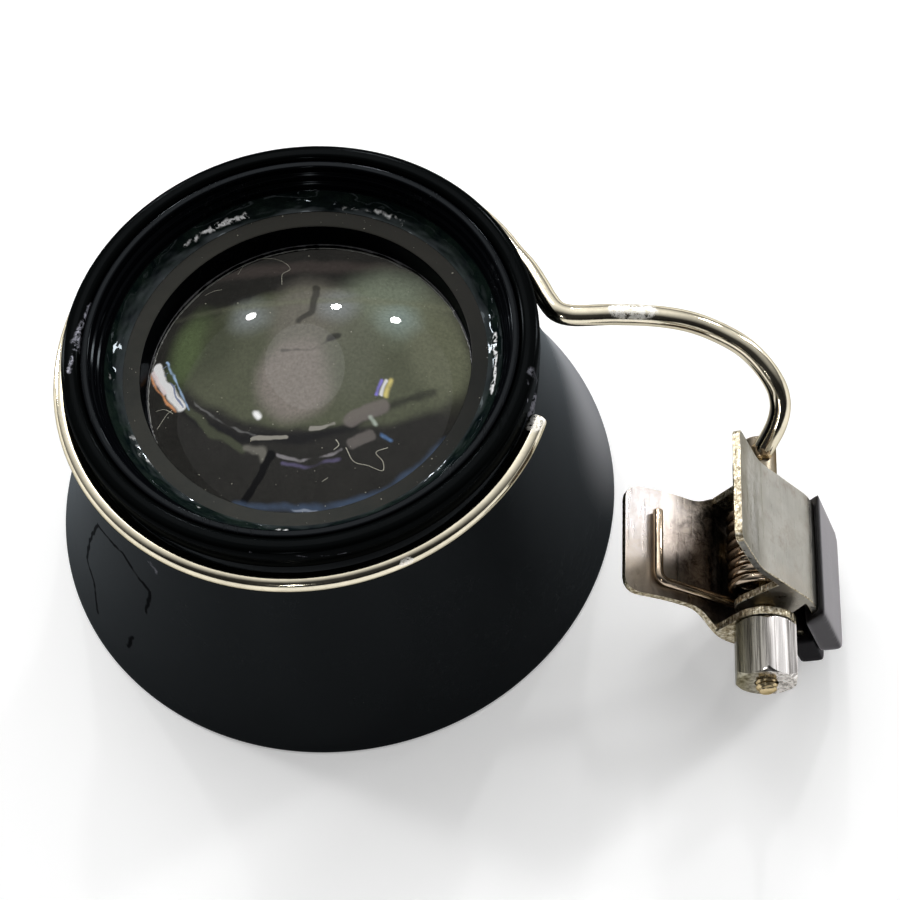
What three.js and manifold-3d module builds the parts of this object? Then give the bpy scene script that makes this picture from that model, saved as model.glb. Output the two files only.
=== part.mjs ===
// Clip-on eye loupe: a moulded eyecup with a lens cell, held in a sprung wire ring.
// The ring's wire runs out as an arm to a small sprung clip that swivels on its own axle.
// Millimetres, +Z up. The eye end rests on z = 0 and the loupe looks up along +Z.
import * as THREE from 'three';
import { mergeVertices } from 'three/addons/utils/BufferGeometryUtils.js';
import Module from 'manifold-3d';

const wasm = await Module();
wasm.setup();

// Driving sizes of the loupe body
const eyeRadius = 18.5;            // eye end of the cup
const bodyHeight = 19.6;           // eye end to the top of the rim
const cupWall = 1.6;
const neckHeight = 15.95;          // where the skirt meets the wire groove
const neckInset = 0.15;            // the neck is this much slimmer than the rim
const skirtBowSpread = 1.5;        // control point of the skirt's hollow curve, out from the neck
const skirtBowHeight = 7.4;
const eyeLipRound = 0.5;
const rimWall = 1.08;
const rimLipRound = 0.45;
const grooveDepth = 0.25;
const grooveWallRun = 0.15;
const cupFloorHeight = 11.0;       // shoulder that the lens cell stands on
const cupFloorInset = 0.2;
const cupFloorThickness = 1.2;

// Lens cell, retaining ring and lens
const cellClearance = 0.06;
const cellTopSink = 0.22;          // the cell's top edge lies below the rim's
const cellEdgeWall = 0.46;
const cellMouthFlare = 1.0;        // the cell's wall opens by this much towards its mouth
const cellSeatThickness = 0.8;
const cellLipRound = 0.15;
const bevelOuterHeight = 16.85;
const bevelInnerHeight = 16.6;
const lensWindowRadius = 9.95;
const retainingRingWidth = 1.55;
const seatInset = 0.45;            // the seat's hole is wider than the window by this much
const lensEdgeHeight = 14.3;       // front of the lens at the retaining ring
const lensSideClearance = 0.36;
const lensFrontCurve = 26.0;
const lensBackCurve = 40.0;
const lensSeatGap = 0.06;

// Wire ring and arm
const ringWire = 1.1;
const armWire = 1.28;
const ringHeight = 16.9;
const ringClearance = 0.3;
const ringFreeEnd = -16;           // degrees round the loupe
const ringLeave = 36;              // degrees, where the arm bends away from the ring
const armLap = 0.9;                // length over which the arm's wire swells
const wireSides = 10;
const solderRadius = 0.88;
const solderClearance = 0.03;

// Clip axle: its line is parallel to Y
const axleFromLoupe = 27.35;
const axleHeight = 8.0;
const rodRadius = 0.65;
const rodFar = -1.75;
const rodNear = -17.1;
const rodTaper = 0.22;
const runningClearance = 0.1;
const threadClearance = 0.06;
const faceClearance = 0.06;
const barrelRadius = 1.05;
const barrelFar = -1.1;
const barrelNear = -3.85;
const nutAcrossFlats = 3.5;
const nutLength = 3.55;
const nutChamfer = 0.28;
const axleSides = 24;

// Clip sheet metal
const sheet = 0.45;
const tabFar = -4.8;
const tabNear = -11.8;
const backTabCornerRadius = 0.9;
const frontTabCornerRadius = 0.45;
const bendSteps = 4;
const backEarFar = barrelNear - faceClearance;
const backEarNear = -12.9;
const backEarRadius = 1.85;
const frontEarRadius = 1.75;
const earArcSteps = 20;
const sheetBendRun = 0.8;
const frontFaceOffset = 2.92;      // axle to the outer face of the front plate
const faceTilt = 53.9;             // degrees below the horizontal, towards the jaws
const tabTilt = 71.5;
const jawTilt = 73.5;
const faceAboveAxle = 4.85;        // from the foot of the face line up to the tab's bend
const faceBelowAxle = 0.75;        // and down to the jaw's bend
const frontTabLength = 4.2;
const frontEarAbove = 2.4;
const frontEarBelow = 0.6;
const webClearance = 0.62;         // spring to the middle web
const webAngles = [-162, -135, -109];
const backTabTilts = [41, 35, 24.5];
const backTabRootLength = 1.4;
const backTabMiddleLength = 2.2;
const backTabEndLength = 2.9;
const backEarEndShare = 0.45;

// Pads
const padWall = 0.42;
const padSideWall = 0.5;
const padClearance = 0.05;
const padMeetGap = 0.06;
const padCornerRadius = 1.1;
const padTipChamfer = 0.25;
const padFrontMouth = 0.35;        // places along the jaws, from the axle's level
const padFrontInnerMouth = 1.6;
const padFrontTip = 6.65;
const padBackMouth = 4.15;
const padBackTip = 8.05;
const jawEndCover = 0.6;           // rubber past the end of each jaw

// Torsion spring
const springWire = 0.43;
const springRadius = 1.925;
const springPitch = 0.85;
const springFar = -5.55;
const springSides = 5;
const stepCountPerTurn = 8;
const wholeTurnCount = 6;          // beyond the part turn between the legs
const springLegTouch = 0.12;       // leg to the tab that it lies on
const springLegBend = 0.6;
const backLegAlongTab = 4.6;
const backLegFootEnd = -6.4;
const frontLegAlongTab = 1.9;
const frontLegFootEnd = -9.8;
const minimumSpringGap = 0.4;

const turnSides = 72;
const overrun = 1;
const weldDistance = 1e-5;         // points closer than this are one point
const degree = Math.PI / 180;
const fullTurn = 2 * Math.PI;

// Radii, from the lens window outwards
const cellThreadRadius = lensWindowRadius + retainingRingWidth;
const lensRadius = cellThreadRadius + cellClearance - lensSideClearance;
const cellSeatRadius = lensWindowRadius + seatInset;
const cellMouthRadius = cellThreadRadius + cellMouthFlare;
const cellRadius = cellMouthRadius + cellEdgeWall;
const cellBoreRadius = cellRadius + cellClearance;
const cupFloorRadius = cellSeatRadius + cupFloorInset;
const rimRadius = cellBoreRadius + rimWall;
const neckRadius = rimRadius - neckInset;
const skirtBowRadius = neckRadius + skirtBowSpread;

// Derived places of the body and wire
const ringCentre = neckRadius - grooveDepth + ringClearance + ringWire / 2;
const grooveBottom = ringHeight - ringWire / 2 - ringClearance;
const grooveTop = ringHeight + ringWire / 2 + ringClearance;
const cellBottom = cupFloorHeight + cellClearance;
const nutFar = backEarNear - faceClearance;
const faceMiddle = frontFaceOffset - sheet / 2;
const faceFoot = [faceMiddle * Math.sin(faceTilt * degree), faceMiddle * Math.cos(faceTilt * degree)];

// Geometry helpers

function positionOnly(geometry) {
  const bare = new THREE.BufferGeometry();
  bare.setAttribute('position', geometry.getAttribute('position').clone());
  if (geometry.index) {
    bare.setIndex(geometry.index.clone());
  }
  return mergeVertices(bare, weldDistance);
}

function signedVolume(positions, triangles) {
  let sum = 0;
  const a = new THREE.Vector3();
  const b = new THREE.Vector3();
  const c = new THREE.Vector3();
  for (let i = 0; i < triangles.length; i += 3) {
    a.fromArray(positions, 3 * triangles[i]);
    b.fromArray(positions, 3 * triangles[i + 1]);
    c.fromArray(positions, 3 * triangles[i + 2]);
    sum += a.dot(b.cross(c));
  }
  return sum;
}

function solid(geometry) {
  const merged = positionOnly(geometry);
  const vertProperties = Float32Array.from(merged.getAttribute('position').array);
  const kept = [];
  const source = merged.index.array;
  for (let i = 0; i < source.length; i += 3) {
    const [a, b, c] = [source[i], source[i + 1], source[i + 2]];
    if (a !== b && b !== c && c !== a) {
      kept.push(a, b, c);
    }
  }
  if (signedVolume(vertProperties, kept) < 0) {
    kept.reverse();
  }
  const triVerts = Uint32Array.from(kept);
  return new wasm.Manifold(new wasm.Mesh({ numProp: 3, vertProperties, triVerts }));
}

function geometryOf(manifold) {
  const mesh = manifold.getMesh();
  const geometry = new THREE.BufferGeometry();
  const count = mesh.vertProperties.length / mesh.numProp;
  const positions = new Float32Array(3 * count);
  for (let i = 0; i < count; i += 1) {
    for (let k = 0; k < 3; k += 1) {
      positions[3 * i + k] = mesh.vertProperties[mesh.numProp * i + k];
    }
  }
  geometry.setAttribute('position', new THREE.BufferAttribute(positions, 3));
  geometry.setIndex(new THREE.BufferAttribute(Uint32Array.from(mesh.triVerts), 1));
  geometry.computeVertexNormals();
  return geometry;
}

// The same closed skin with every face pointing out
function outward(geometry) {
  return geometryOf(solid(geometry));
}

// A closed profile of [radius, height] points turned about Z
function turned(profile, sides = turnSides) {
  const points = profile.map(([radius, height]) => new THREE.Vector2(radius, height));
  const onAxis = profile[0][0] === 0 && profile[profile.length - 1][0] === 0;
  if (!onAxis) {
    points.push(points[0].clone());
  }
  return outward(new THREE.LatheGeometry(points, sides).rotateX(Math.PI / 2));
}

// The same, about an axis parallel to Y: the heights become places along Y
function turnedAlongY(profile, sides = axleSides) {
  return turned(profile, sides).rotateX(-Math.PI / 2);
}

// An outline in the X-Z plane, drawn out along Y from yFar towards yNear
function extrudedAlongY(outline, yFar, yNear) {
  const shape = new THREE.Shape(outline.map(([x, z]) => new THREE.Vector2(x, z)));
  const geometry = new THREE.ExtrudeGeometry(shape, { depth: yFar - yNear, bevelEnabled: false });
  return geometry.rotateX(Math.PI / 2).translate(0, yFar, 0);
}

function roundSection(radius, sides) {
  const shape = new THREE.Shape();
  for (let i = 0; i < sides; i += 1) {
    const angle = (fullTurn * i) / sides;
    const x = radius * Math.cos(angle);
    const y = radius * Math.sin(angle);
    if (i === 0) {
      shape.moveTo(x, y);
    } else {
      shape.lineTo(x, y);
    }
  }
  shape.closePath();
  return shape;
}

function tube(path, radius, steps, sides = wireSides) {
  return new THREE.ExtrudeGeometry(roundSection(radius, sides), { steps, extrudePath: path });
}

// Rings of equal point counts joined into one closed skin
function loft(rings) {
  const geometry = new THREE.BufferGeometry();
  const width = rings[0].length;
  const positions = [];
  rings.forEach((ring) => ring.forEach((point) => positions.push(point.x, point.y, point.z)));
  const triangles = [];
  for (let i = 0; i + 1 < rings.length; i += 1) {
    for (let k = 0; k < width; k += 1) {
      const a = i * width + k;
      const b = i * width + ((k + 1) % width);
      triangles.push(a, b, a + width, b, b + width, a + width);
    }
  }
  const last = (rings.length - 1) * width;
  for (let k = 1; k + 1 < width; k += 1) {
    triangles.push(0, k + 1, k);
    triangles.push(last, last + k, last + k + 1);
  }
  geometry.setAttribute('position', new THREE.Float32BufferAttribute(positions, 3));
  geometry.setIndex(triangles);
  return geometry;
}

function mesh(name, geometry, color, roughness, metalness) {
  const material = new THREE.MeshStandardMaterial({ color, roughness, metalness });
  const result = new THREE.Mesh(geometry, material);
  result.name = name;
  return result;
}

// Loupe body

function skirtPoint(share, inset) {
  const rest = 1 - share;
  const radius = rest * rest * neckRadius + 2 * rest * share * skirtBowRadius + share * share * eyeRadius;
  const height = rest * rest * neckHeight + 2 * rest * share * skirtBowHeight;
  return [radius - inset, height];
}

function skirtCurve(inset, firstHeight, steps) {
  const points = [];
  for (let i = 0; i <= steps; i += 1) {
    points.push(skirtPoint(i / steps, inset));
  }
  return points.filter(([, height]) => height < firstHeight);
}

function eyecupGeometry() {
  const skirtSteps = 8;
  const outer = skirtCurve(0, neckHeight + overrun, skirtSteps).slice(0, -1);
  const cavityTop = cupFloorHeight - cupFloorThickness;
  const inner = skirtCurve(cupWall, cavityTop, skirtSteps).slice(0, -1);
  const profile = [
    [cellBoreRadius, bodyHeight - rimLipRound],
    [cellBoreRadius + rimLipRound / 2, bodyHeight - rimLipRound / 4],
    [rimRadius - rimLipRound, bodyHeight],
    [rimRadius - rimLipRound / 4, bodyHeight - rimLipRound / 2],
    [rimRadius, bodyHeight - rimLipRound],
    [rimRadius, grooveTop + grooveWallRun],
    [neckRadius - grooveDepth, grooveTop],
    [neckRadius - grooveDepth, grooveBottom],
    ...outer,
    [eyeRadius, eyeLipRound],
    [eyeRadius - eyeLipRound / 2, 0],
    [eyeRadius - cupWall + eyeLipRound / 2, 0],
    [eyeRadius - cupWall, eyeLipRound],
    ...inner.reverse(),
    [inner[inner.length - 1][0] - cupFloorThickness, cavityTop],
    [cupFloorRadius, cavityTop],
    [cupFloorRadius, cupFloorHeight],
    [cellBoreRadius, cupFloorHeight],
  ];
  return turned(profile);
}

function lensCellGeometry() {
  const top = bodyHeight - cellTopSink;
  const seatTop = cellBottom + cellSeatThickness;
  return turned([
    [cellRadius, cellBottom],
    [cellRadius, top - cellLipRound],
    [cellRadius - cellLipRound, top],
    [cellMouthRadius + cellLipRound, top],
    [cellMouthRadius, top - cellLipRound],
    [cellThreadRadius + cellClearance, bevelOuterHeight],
    [cellThreadRadius + cellClearance, seatTop],
    [cellSeatRadius, seatTop],
    [cellSeatRadius, cellBottom],
  ]);
}

function retainingRingGeometry() {
  return turned([
    [cellThreadRadius, lensEdgeHeight],
    [cellThreadRadius, bevelOuterHeight - cellLipRound],
    [cellThreadRadius - cellLipRound, bevelOuterHeight],
    [lensWindowRadius, bevelInnerHeight],
    [lensWindowRadius, lensEdgeHeight],
  ]);
}

function sag(curve, radius) {
  return curve - Math.sqrt(curve * curve - radius * radius);
}

function lensGeometry() {
  const domeSteps = 6;
  const edgeTop = lensEdgeHeight - lensSeatGap - sag(lensFrontCurve, lensRadius)
    + sag(lensFrontCurve, lensWindowRadius);
  const edgeBottom = cellBottom + cellSeatThickness + lensSeatGap + sag(lensBackCurve, lensRadius)
    - sag(lensBackCurve, cellSeatRadius);
  const profile = [];
  for (let i = 0; i <= domeSteps; i += 1) {
    const radius = (lensRadius * i) / domeSteps;
    profile.push([radius, edgeBottom - sag(lensBackCurve, lensRadius) + sag(lensBackCurve, radius)]);
  }
  for (let i = domeSteps; i >= 0; i -= 1) {
    const radius = (lensRadius * i) / domeSteps;
    profile.push([radius, edgeTop + sag(lensFrontCurve, lensRadius) - sag(lensFrontCurve, radius)]);
  }
  return turned(profile);
}

// Wire ring and arm

class RingArc extends THREE.Curve {
  getPoint(t, target = new THREE.Vector3()) {
    const sweep = 360 - (ringLeave - ringFreeEnd);
    const angle = (ringFreeEnd - sweep * t) * degree;
    return target.set(ringCentre * Math.cos(angle), ringCentre * Math.sin(angle), ringHeight);
  }
}

// The arm's route, in shares of the run from the ring to the axle, of the eye radius
// and of the drop from the ring to the barrel
const armRouteShares = [
  [-0.11, 0.357, 0.0],
  [-0.053, 0.284, 0.0],
  [-0.014, 0.232, 0.0],
  [0.03, 0.191, 0.002],
  [0.085, 0.18, 0.02],
  [0.303, 0.19, 0.05],
  [0.498, 0.194, 0.09],
  [0.649, 0.198, 0.18],
  [0.773, 0.189, 0.28],
  [0.9, 0.157, 0.37],
  [0.987, 0.119, 0.47],
  [1.045, 0.08, 0.56],
  [1.078, 0.048, 0.65],
  [1.088, 0.01, 0.74],
  [1.07, -0.031, 0.84],
  [1.039, -0.062, 0.93],
  [1.012, -0.085, 1.0],
];

function armPath() {
  const run = axleFromLoupe - ringCentre;
  const drop = ringHeight - axleHeight - barrelRadius;
  const start = ringLeave * degree;
  const lead = armLap / ringCentre;
  const points = [start + lead, start, start - lead].map((angle) => new THREE.Vector3(
    ringCentre * Math.cos(angle), ringCentre * Math.sin(angle), ringHeight));
  armRouteShares.forEach(([outShare, acrossShare, dropShare]) => {
    const x = ringCentre + outShare * run;
    const y = acrossShare * eyeRadius;
    points.push(new THREE.Vector3(x, y, ringHeight - dropShare * drop));
  });
  return new THREE.CatmullRomCurve3(points, false, 'centripetal');
}

function barrelEnvelope(clearance) {
  const profile = [
    [0, barrelNear - overrun],
    [barrelRadius + clearance, barrelNear - overrun],
    [barrelRadius + clearance, barrelFar + clearance],
    [0, barrelFar + clearance],
  ];
  return turnedAlongY(profile).translate(axleFromLoupe, 0, axleHeight);
}

function wireSolid(clearance) {
  const ringSteps = 68;
  const armSteps = 34;
  const ring = solid(tube(new RingArc(), ringWire / 2 + clearance, ringSteps));
  const arm = solid(tube(armPath(), armWire / 2 + clearance, armSteps));
  return ring.add(arm);
}

function clipWireGeometry() {
  return geometryOf(wireSolid(0).subtract(solid(barrelEnvelope(solderClearance))));
}

function solderGeometry() {
  const path = armPath();
  const end = path.getPoint(1);
  const blob = new THREE.SphereGeometry(solderRadius, 2 * wireSides, wireSides);
  blob.translate(end.x, end.y, end.z);
  const cut = solid(blob)
    .subtract(wireSolid(solderClearance))
    .subtract(solid(barrelEnvelope(solderClearance)));
  const bodies = cut.decompose().sort((a, b) => b.volume() - a.volume());
  return geometryOf(bodies[0]);
}

// Axle pieces, about a line along Y through the origin of the clip's own frame

function barrelGeometry() {
  const bore = rodRadius + threadClearance;
  return turnedAlongY([
    [barrelRadius, barrelNear],
    [barrelRadius, barrelFar],
    [0, barrelFar],
    [0, rodFar + threadClearance],
    [bore, rodFar + threadClearance],
    [bore, barrelNear],
  ]);
}

function rodGeometry() {
  return turnedAlongY([
    [0, rodNear],
    [rodRadius - rodTaper, rodNear],
    [rodRadius, rodNear + rodTaper],
    [rodRadius, rodFar],
    [0, rodFar],
  ]);
}

function nutGeometry() {
  const cornerRadius = nutAcrossFlats / Math.sqrt(3);
  const nutNear = nutFar - nutLength;
  const corners = [];
  for (let i = 0; i < 6; i += 1) {
    const angle = (30 + 60 * i) * degree;
    corners.push([cornerRadius * Math.cos(angle), cornerRadius * Math.sin(angle)]);
  }
  const hexagon = solid(extrudedAlongY(corners, nutFar, nutNear));
  const barrelShape = solid(turnedAlongY([
    [0, nutNear],
    [cornerRadius - nutChamfer, nutNear],
    [cornerRadius, nutNear + nutChamfer],
    [cornerRadius, nutFar - nutChamfer],
    [cornerRadius - nutChamfer, nutFar],
    [0, nutFar],
  ], axleSides * 2));
  const bore = rodRadius + threadClearance;
  const hole = solid(turnedAlongY([
    [0, nutNear - overrun],
    [bore, nutNear - overrun],
    [bore, nutFar + overrun],
    [0, nutFar + overrun],
  ]));
  return geometryOf(hexagon.intersect(barrelShape).subtract(hole));
}

// Sheet-metal plates. A section is a list of { x, z, far, near } stations about the axle.

function station(x, z, far, near) {
  return { x, z, far, near };
}

function mixStations(a, b, share) {
  const mix = (key) => a[key] + (b[key] - a[key]) * share;
  return station(mix('x'), mix('z'), mix('far'), mix('near'));
}

function distance(a, b) {
  return Math.hypot(a.x - b.x, a.z - b.z);
}

// Rounds each inner corner of a section with a quadratic bend
function bentSection(corners, bendRun) {
  const section = [corners[0]];
  for (let i = 1; i + 1 < corners.length; i += 1) {
    const [before, corner, after] = [corners[i - 1], corners[i], corners[i + 1]];
    const reach = Math.min(bendRun, distance(before, corner) / 2, distance(corner, after) / 2);
    const start = mixStations(corner, before, reach / distance(before, corner));
    const end = mixStations(corner, after, reach / distance(corner, after));
    for (let k = 0; k <= bendSteps; k += 1) {
      const share = k / bendSteps;
      const left = mixStations(start, corner, share);
      const right = mixStations(corner, end, share);
      section.push(mixStations(left, right, share));
    }
  }
  section.push(corners[corners.length - 1]);
  return section;
}

// Adds stations that round the free end's two corners
function roundedEnd(first, second, radius) {
  const cornerSteps = 4;
  const length = distance(first, second);
  const stations = [];
  for (let i = 0; i < cornerSteps; i += 1) {
    const angle = (Math.PI / 2) * (i / cornerSteps);
    const along = radius * (1 - Math.cos(angle));
    const inset = radius * (1 - Math.sin(angle));
    const at = mixStations(first, second, along / length);
    stations.push(station(at.x, at.z, at.far - inset, at.near + inset));
  }
  stations.push(mixStations(first, second, radius / length));
  return stations;
}

// Sheet of even thickness along a section: each station gives four corners of a rectangle
function sheetGeometry(section) {
  const rings = section.map((here, i) => {
    const before = section[Math.max(i - 1, 0)];
    const after = section[Math.min(i + 1, section.length - 1)];
    const run = distance(before, after);
    const nx = (-(after.z - before.z) / run) * (sheet / 2);
    const nz = ((after.x - before.x) / run) * (sheet / 2);
    return [
      new THREE.Vector3(here.x + nx, here.far, here.z + nz),
      new THREE.Vector3(here.x + nx, here.near, here.z + nz),
      new THREE.Vector3(here.x - nx, here.near, here.z - nz),
      new THREE.Vector3(here.x - nx, here.far, here.z - nz),
    ];
  });
  return loft(rings);
}

function dot(a, b) {
  return a[0] * b[0] + a[1] * b[1];
}

// A point further down a line that tilts below the horizontal by this many degrees
function along(origin, tilt, length) {
  return [origin[0] + length * Math.cos(tilt * degree), origin[1] - length * Math.sin(tilt * degree)];
}

function tangentAngle(point, radius, side) {
  return Math.atan2(point[1], point[0]) + side * Math.acos(radius / Math.hypot(...point));
}

// Ear outline: the base line along the plate, closed round the axle by an arc
function earOutline(base, radius, clockwise) {
  const side = clockwise ? -1 : 1;
  const from = tangentAngle(base[0], radius, side);
  let to = tangentAngle(base[base.length - 1], radius, -side);
  if (clockwise && to > from) {
    to -= fullTurn;
  }
  if (!clockwise && to < from) {
    to += fullTurn;
  }
  const arc = [];
  for (let i = 0; i <= earArcSteps; i += 1) {
    const angle = from + ((to - from) * i) / earArcSteps;
    arc.push([radius * Math.cos(angle), radius * Math.sin(angle)]);
  }
  return [base[0], ...arc, ...base.slice(1).reverse()];
}

function axleHole() {
  const radius = rodRadius + runningClearance;
  return solid(turnedAlongY([
    [0, rodNear],
    [radius, rodNear],
    [radius, barrelFar + overrun],
    [0, barrelFar + overrun],
  ]));
}

function plateGeometry(section, outline, earFar, earNear) {
  const plate = solid(sheetGeometry(section));
  const farEar = solid(extrudedAlongY(outline, earFar, earFar - sheet));
  const nearEar = solid(extrudedAlongY(outline, earNear + sheet, earNear));
  return geometryOf(plate.add(farEar).add(nearEar).subtract(axleHole()));
}

// Front plate: its middle face line passes the axle at faceMiddle, and bends to the tab and the jaw
const tabBend = along(faceFoot, faceTilt, -faceAboveAxle);
const tabEnd = along(tabBend, tabTilt, -frontTabLength);
const jawBend = along(faceFoot, faceTilt, faceBelowAxle);
const jawNormal = [Math.sin(jawTilt * degree), Math.cos(jawTilt * degree)];
const jawRun = [Math.cos(jawTilt * degree), -Math.sin(jawTilt * degree)];
const frontJawOffset = dot(jawBend, jawNormal);
const padHalf = sheet / 2 + padClearance + padWall;
const backJawOffset = frontJawOffset - 2 * padHalf - padMeetGap;

function jawPoint(offset, place) {
  return [offset * jawNormal[0] + place * jawRun[0], offset * jawNormal[1] + place * jawRun[1]];
}

function frontPlateGeometry() {
  const jawEnd = jawPoint(frontJawOffset, padFrontTip - jawEndCover);
  const corners = [tabEnd, tabBend, jawBend, jawEnd].map(([x, z]) => station(x, z, tabFar, tabNear));
  const section = [
    ...roundedEnd(corners[0], corners[1], frontTabCornerRadius),
    ...bentSection(corners, sheetBendRun).slice(1),
  ];
  const earTop = along(faceFoot, faceTilt, -frontEarAbove);
  const earBottom = along(faceFoot, faceTilt, frontEarBelow);
  const outline = earOutline([earTop, faceFoot, earBottom], frontEarRadius, false);
  return plateGeometry(section, outline, tabFar, tabNear);
}

// Back plate: the web passes under the spring, from the tab on the left to the jaw
const webMiddle = springRadius + springWire / 2 + webClearance + sheet / 2;

function webCorner(angle) {
  return [webMiddle * Math.cos(angle * degree), webMiddle * Math.sin(angle * degree)];
}

function backJawTop() {
  const level = webCorner(webAngles[2])[1];
  const place = (backJawOffset * jawNormal[1] - level) / -jawRun[1];
  return jawPoint(backJawOffset, place);
}

const backTabLengths = [backTabRootLength, backTabMiddleLength, backTabEndLength];
const backTabPoints = backTabTilts.reduce((points, tilt, i) => {
  const from = points[points.length - 1];
  return [...points, along(from, tilt, -backTabLengths[i])];
}, [webCorner(webAngles[0])]);

function backPlateGeometry() {
  const jawEnd = jawPoint(backJawOffset, padBackTip - jawEndCover);
  const [tabRoot, ...tabRest] = backTabPoints;
  const webPoints = webAngles.slice(1).map(webCorner);
  const jawTop = backJawTop();
  const narrow = ([x, z]) => station(x, z, tabFar, tabNear);
  const wide = ([x, z]) => station(x, z, backEarFar, backEarNear);
  const lastWide = [jawTop[0] * backEarEndShare, webPoints[1][1]];
  const corners = [
    ...tabRest.reverse().map(narrow),
    wide(tabRoot),
    ...webPoints.map(wide),
    wide(lastWide),
    narrow(jawTop),
    narrow(jawEnd),
  ];
  const section = [
    ...roundedEnd(corners[0], corners[1], backTabCornerRadius),
    ...bentSection(corners, sheetBendRun).slice(1),
  ];
  const outline = earOutline([tabRoot, ...webPoints, lastWide], backEarRadius, true);
  return plateGeometry(section, outline, backEarFar, backEarNear);
}

// Rubber sleeves. In the pad's own frame X runs along the jaw and Z away from the meeting face.

function padGeometry(middle, mouthOutside, mouthInside, tip, outside) {
  const outer = middle + outside * padHalf;
  const inner = middle - outside * padHalf;
  const chamfer = outside * padTipChamfer;
  const section = [
    [mouthOutside, outer],
    [tip - padTipChamfer, outer],
    [tip, outer - chamfer],
    [tip, inner + chamfer],
    [tip - padTipChamfer, inner],
    [mouthInside, inner],
  ];
  const padFar = tabFar + padClearance + padSideWall;
  const padNear = tabNear - padClearance - padSideWall;
  const block = solid(extrudedAlongY(section, padFar, padNear));
  const face = new THREE.Shape();
  face.moveTo(-overrun, padFar);
  face.lineTo(-overrun, padNear);
  face.lineTo(tip - padCornerRadius, padNear);
  face.absarc(tip - padCornerRadius, padNear + padCornerRadius, padCornerRadius, -Math.PI / 2, 0, false);
  face.absarc(tip - padCornerRadius, padFar - padCornerRadius, padCornerRadius, 0, Math.PI / 2, false);
  const depth = 2 * padHalf + 2 * overrun;
  const rounder = new THREE.ExtrudeGeometry(face, { depth, bevelEnabled: false, curveSegments: bendSteps });
  rounder.translate(0, 0, middle - depth / 2);
  const slotHalf = sheet / 2 + padClearance;
  const slotEnd = tip - jawEndCover + padClearance;
  const slotSection = [
    [-overrun, middle - slotHalf],
    [slotEnd, middle - slotHalf],
    [slotEnd, middle + slotHalf],
    [-overrun, middle + slotHalf],
  ];
  const slot = solid(extrudedAlongY(slotSection, tabFar + padClearance, tabNear - padClearance));
  return geometryOf(block.intersect(solid(rounder)).subtract(slot));
}

function padMesh(name, geometry) {
  const pad = mesh(name, geometry, 0x1b1c1f, 0.6, 0);
  pad.rotation.y = jawTilt * degree;
  return pad;
}

// Torsion spring: foot, leg, helix, leg and foot in one unbroken tube

function onTab(from, tilt, length, side) {
  const point = along(from, tilt, -length);
  const lift = side * (sheet / 2 + springWire / 2 + springLegTouch);
  return [point[0] + lift * Math.sin(tilt * degree), point[1] + lift * Math.cos(tilt * degree)];
}

function roundedRoute(points, run) {
  const route = [points[0]];
  for (let i = 1; i + 1 < points.length; i += 1) {
    const corner = points[i];
    const reach = (other) => Math.min(run, corner.distanceTo(other) / 2) / corner.distanceTo(other);
    const start = corner.clone().lerp(points[i - 1], reach(points[i - 1]));
    const end = corner.clone().lerp(points[i + 1], reach(points[i + 1]));
    const bend = new THREE.QuadraticBezierCurve3(start, corner, end);
    route.push(...bend.getPoints(bendSteps));
  }
  route.push(points[points.length - 1]);
  return route;
}

function at(point, y) {
  return new THREE.Vector3(point[0], y, point[1]);
}

function springRoute() {
  const frontSeat = onTab(tabBend, tabTilt, frontLegAlongTab, -1);
  const startAngle = Math.PI / 2 - faceTilt * degree;
  const onCoil = [springRadius * Math.cos(startAngle), springRadius * Math.sin(startAngle)];
  const frontKnee = along(onCoil, faceTilt, -faceAboveAxle);
  const backSeat = onTab(backTabPoints[0], backTabTilts[1], backLegAlongTab, 1);
  const endAngle = tangentAngle(backSeat, springRadius, 1);
  const sweep = startAngle - endAngle + fullTurn;
  const turns = sweep / fullTurn + wholeTurnCount;
  const steps = Math.round(turns * stepCountPerTurn);
  const springNear = springFar - turns * springPitch;
  const frontLeg = roundedRoute([
    at(frontSeat, frontLegFootEnd),
    at(frontSeat, springFar),
    at(frontKnee, springFar),
    at(onCoil, springFar),
  ], springLegBend).slice(0, -1);
  const helix = [];
  for (let i = 0; i <= steps; i += 1) {
    const share = i / steps;
    const angle = startAngle - turns * fullTurn * share;
    const point = [springRadius * Math.cos(angle), springRadius * Math.sin(angle)];
    helix.push(at(point, springFar + (springNear - springFar) * share));
  }
  const backLeg = roundedRoute([
    helix[steps],
    at(backSeat, springNear),
    at(backSeat, backLegFootEnd),
  ], springLegBend).slice(1);
  return [...frontLeg, ...helix, ...backLeg];
}

function leastSelfGap(route) {
  const places = [0];
  for (let i = 1; i < route.length; i += 1) {
    places.push(places[i - 1] + route[i].distanceTo(route[i - 1]));
  }
  const fine = new THREE.CatmullRomCurve3(route, false, 'centripetal').getSpacedPoints(route.length * bendSteps);
  const step = places[places.length - 1] / (fine.length - 1);
  const apart = Math.ceil((Math.PI * springRadius) / step);
  let least = Infinity;
  for (let i = 0; i < fine.length; i += 1) {
    for (let k = i + apart; k < fine.length; k += 1) {
      least = Math.min(least, fine[i].distanceTo(fine[k]));
    }
  }
  return least - springWire;
}

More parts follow.
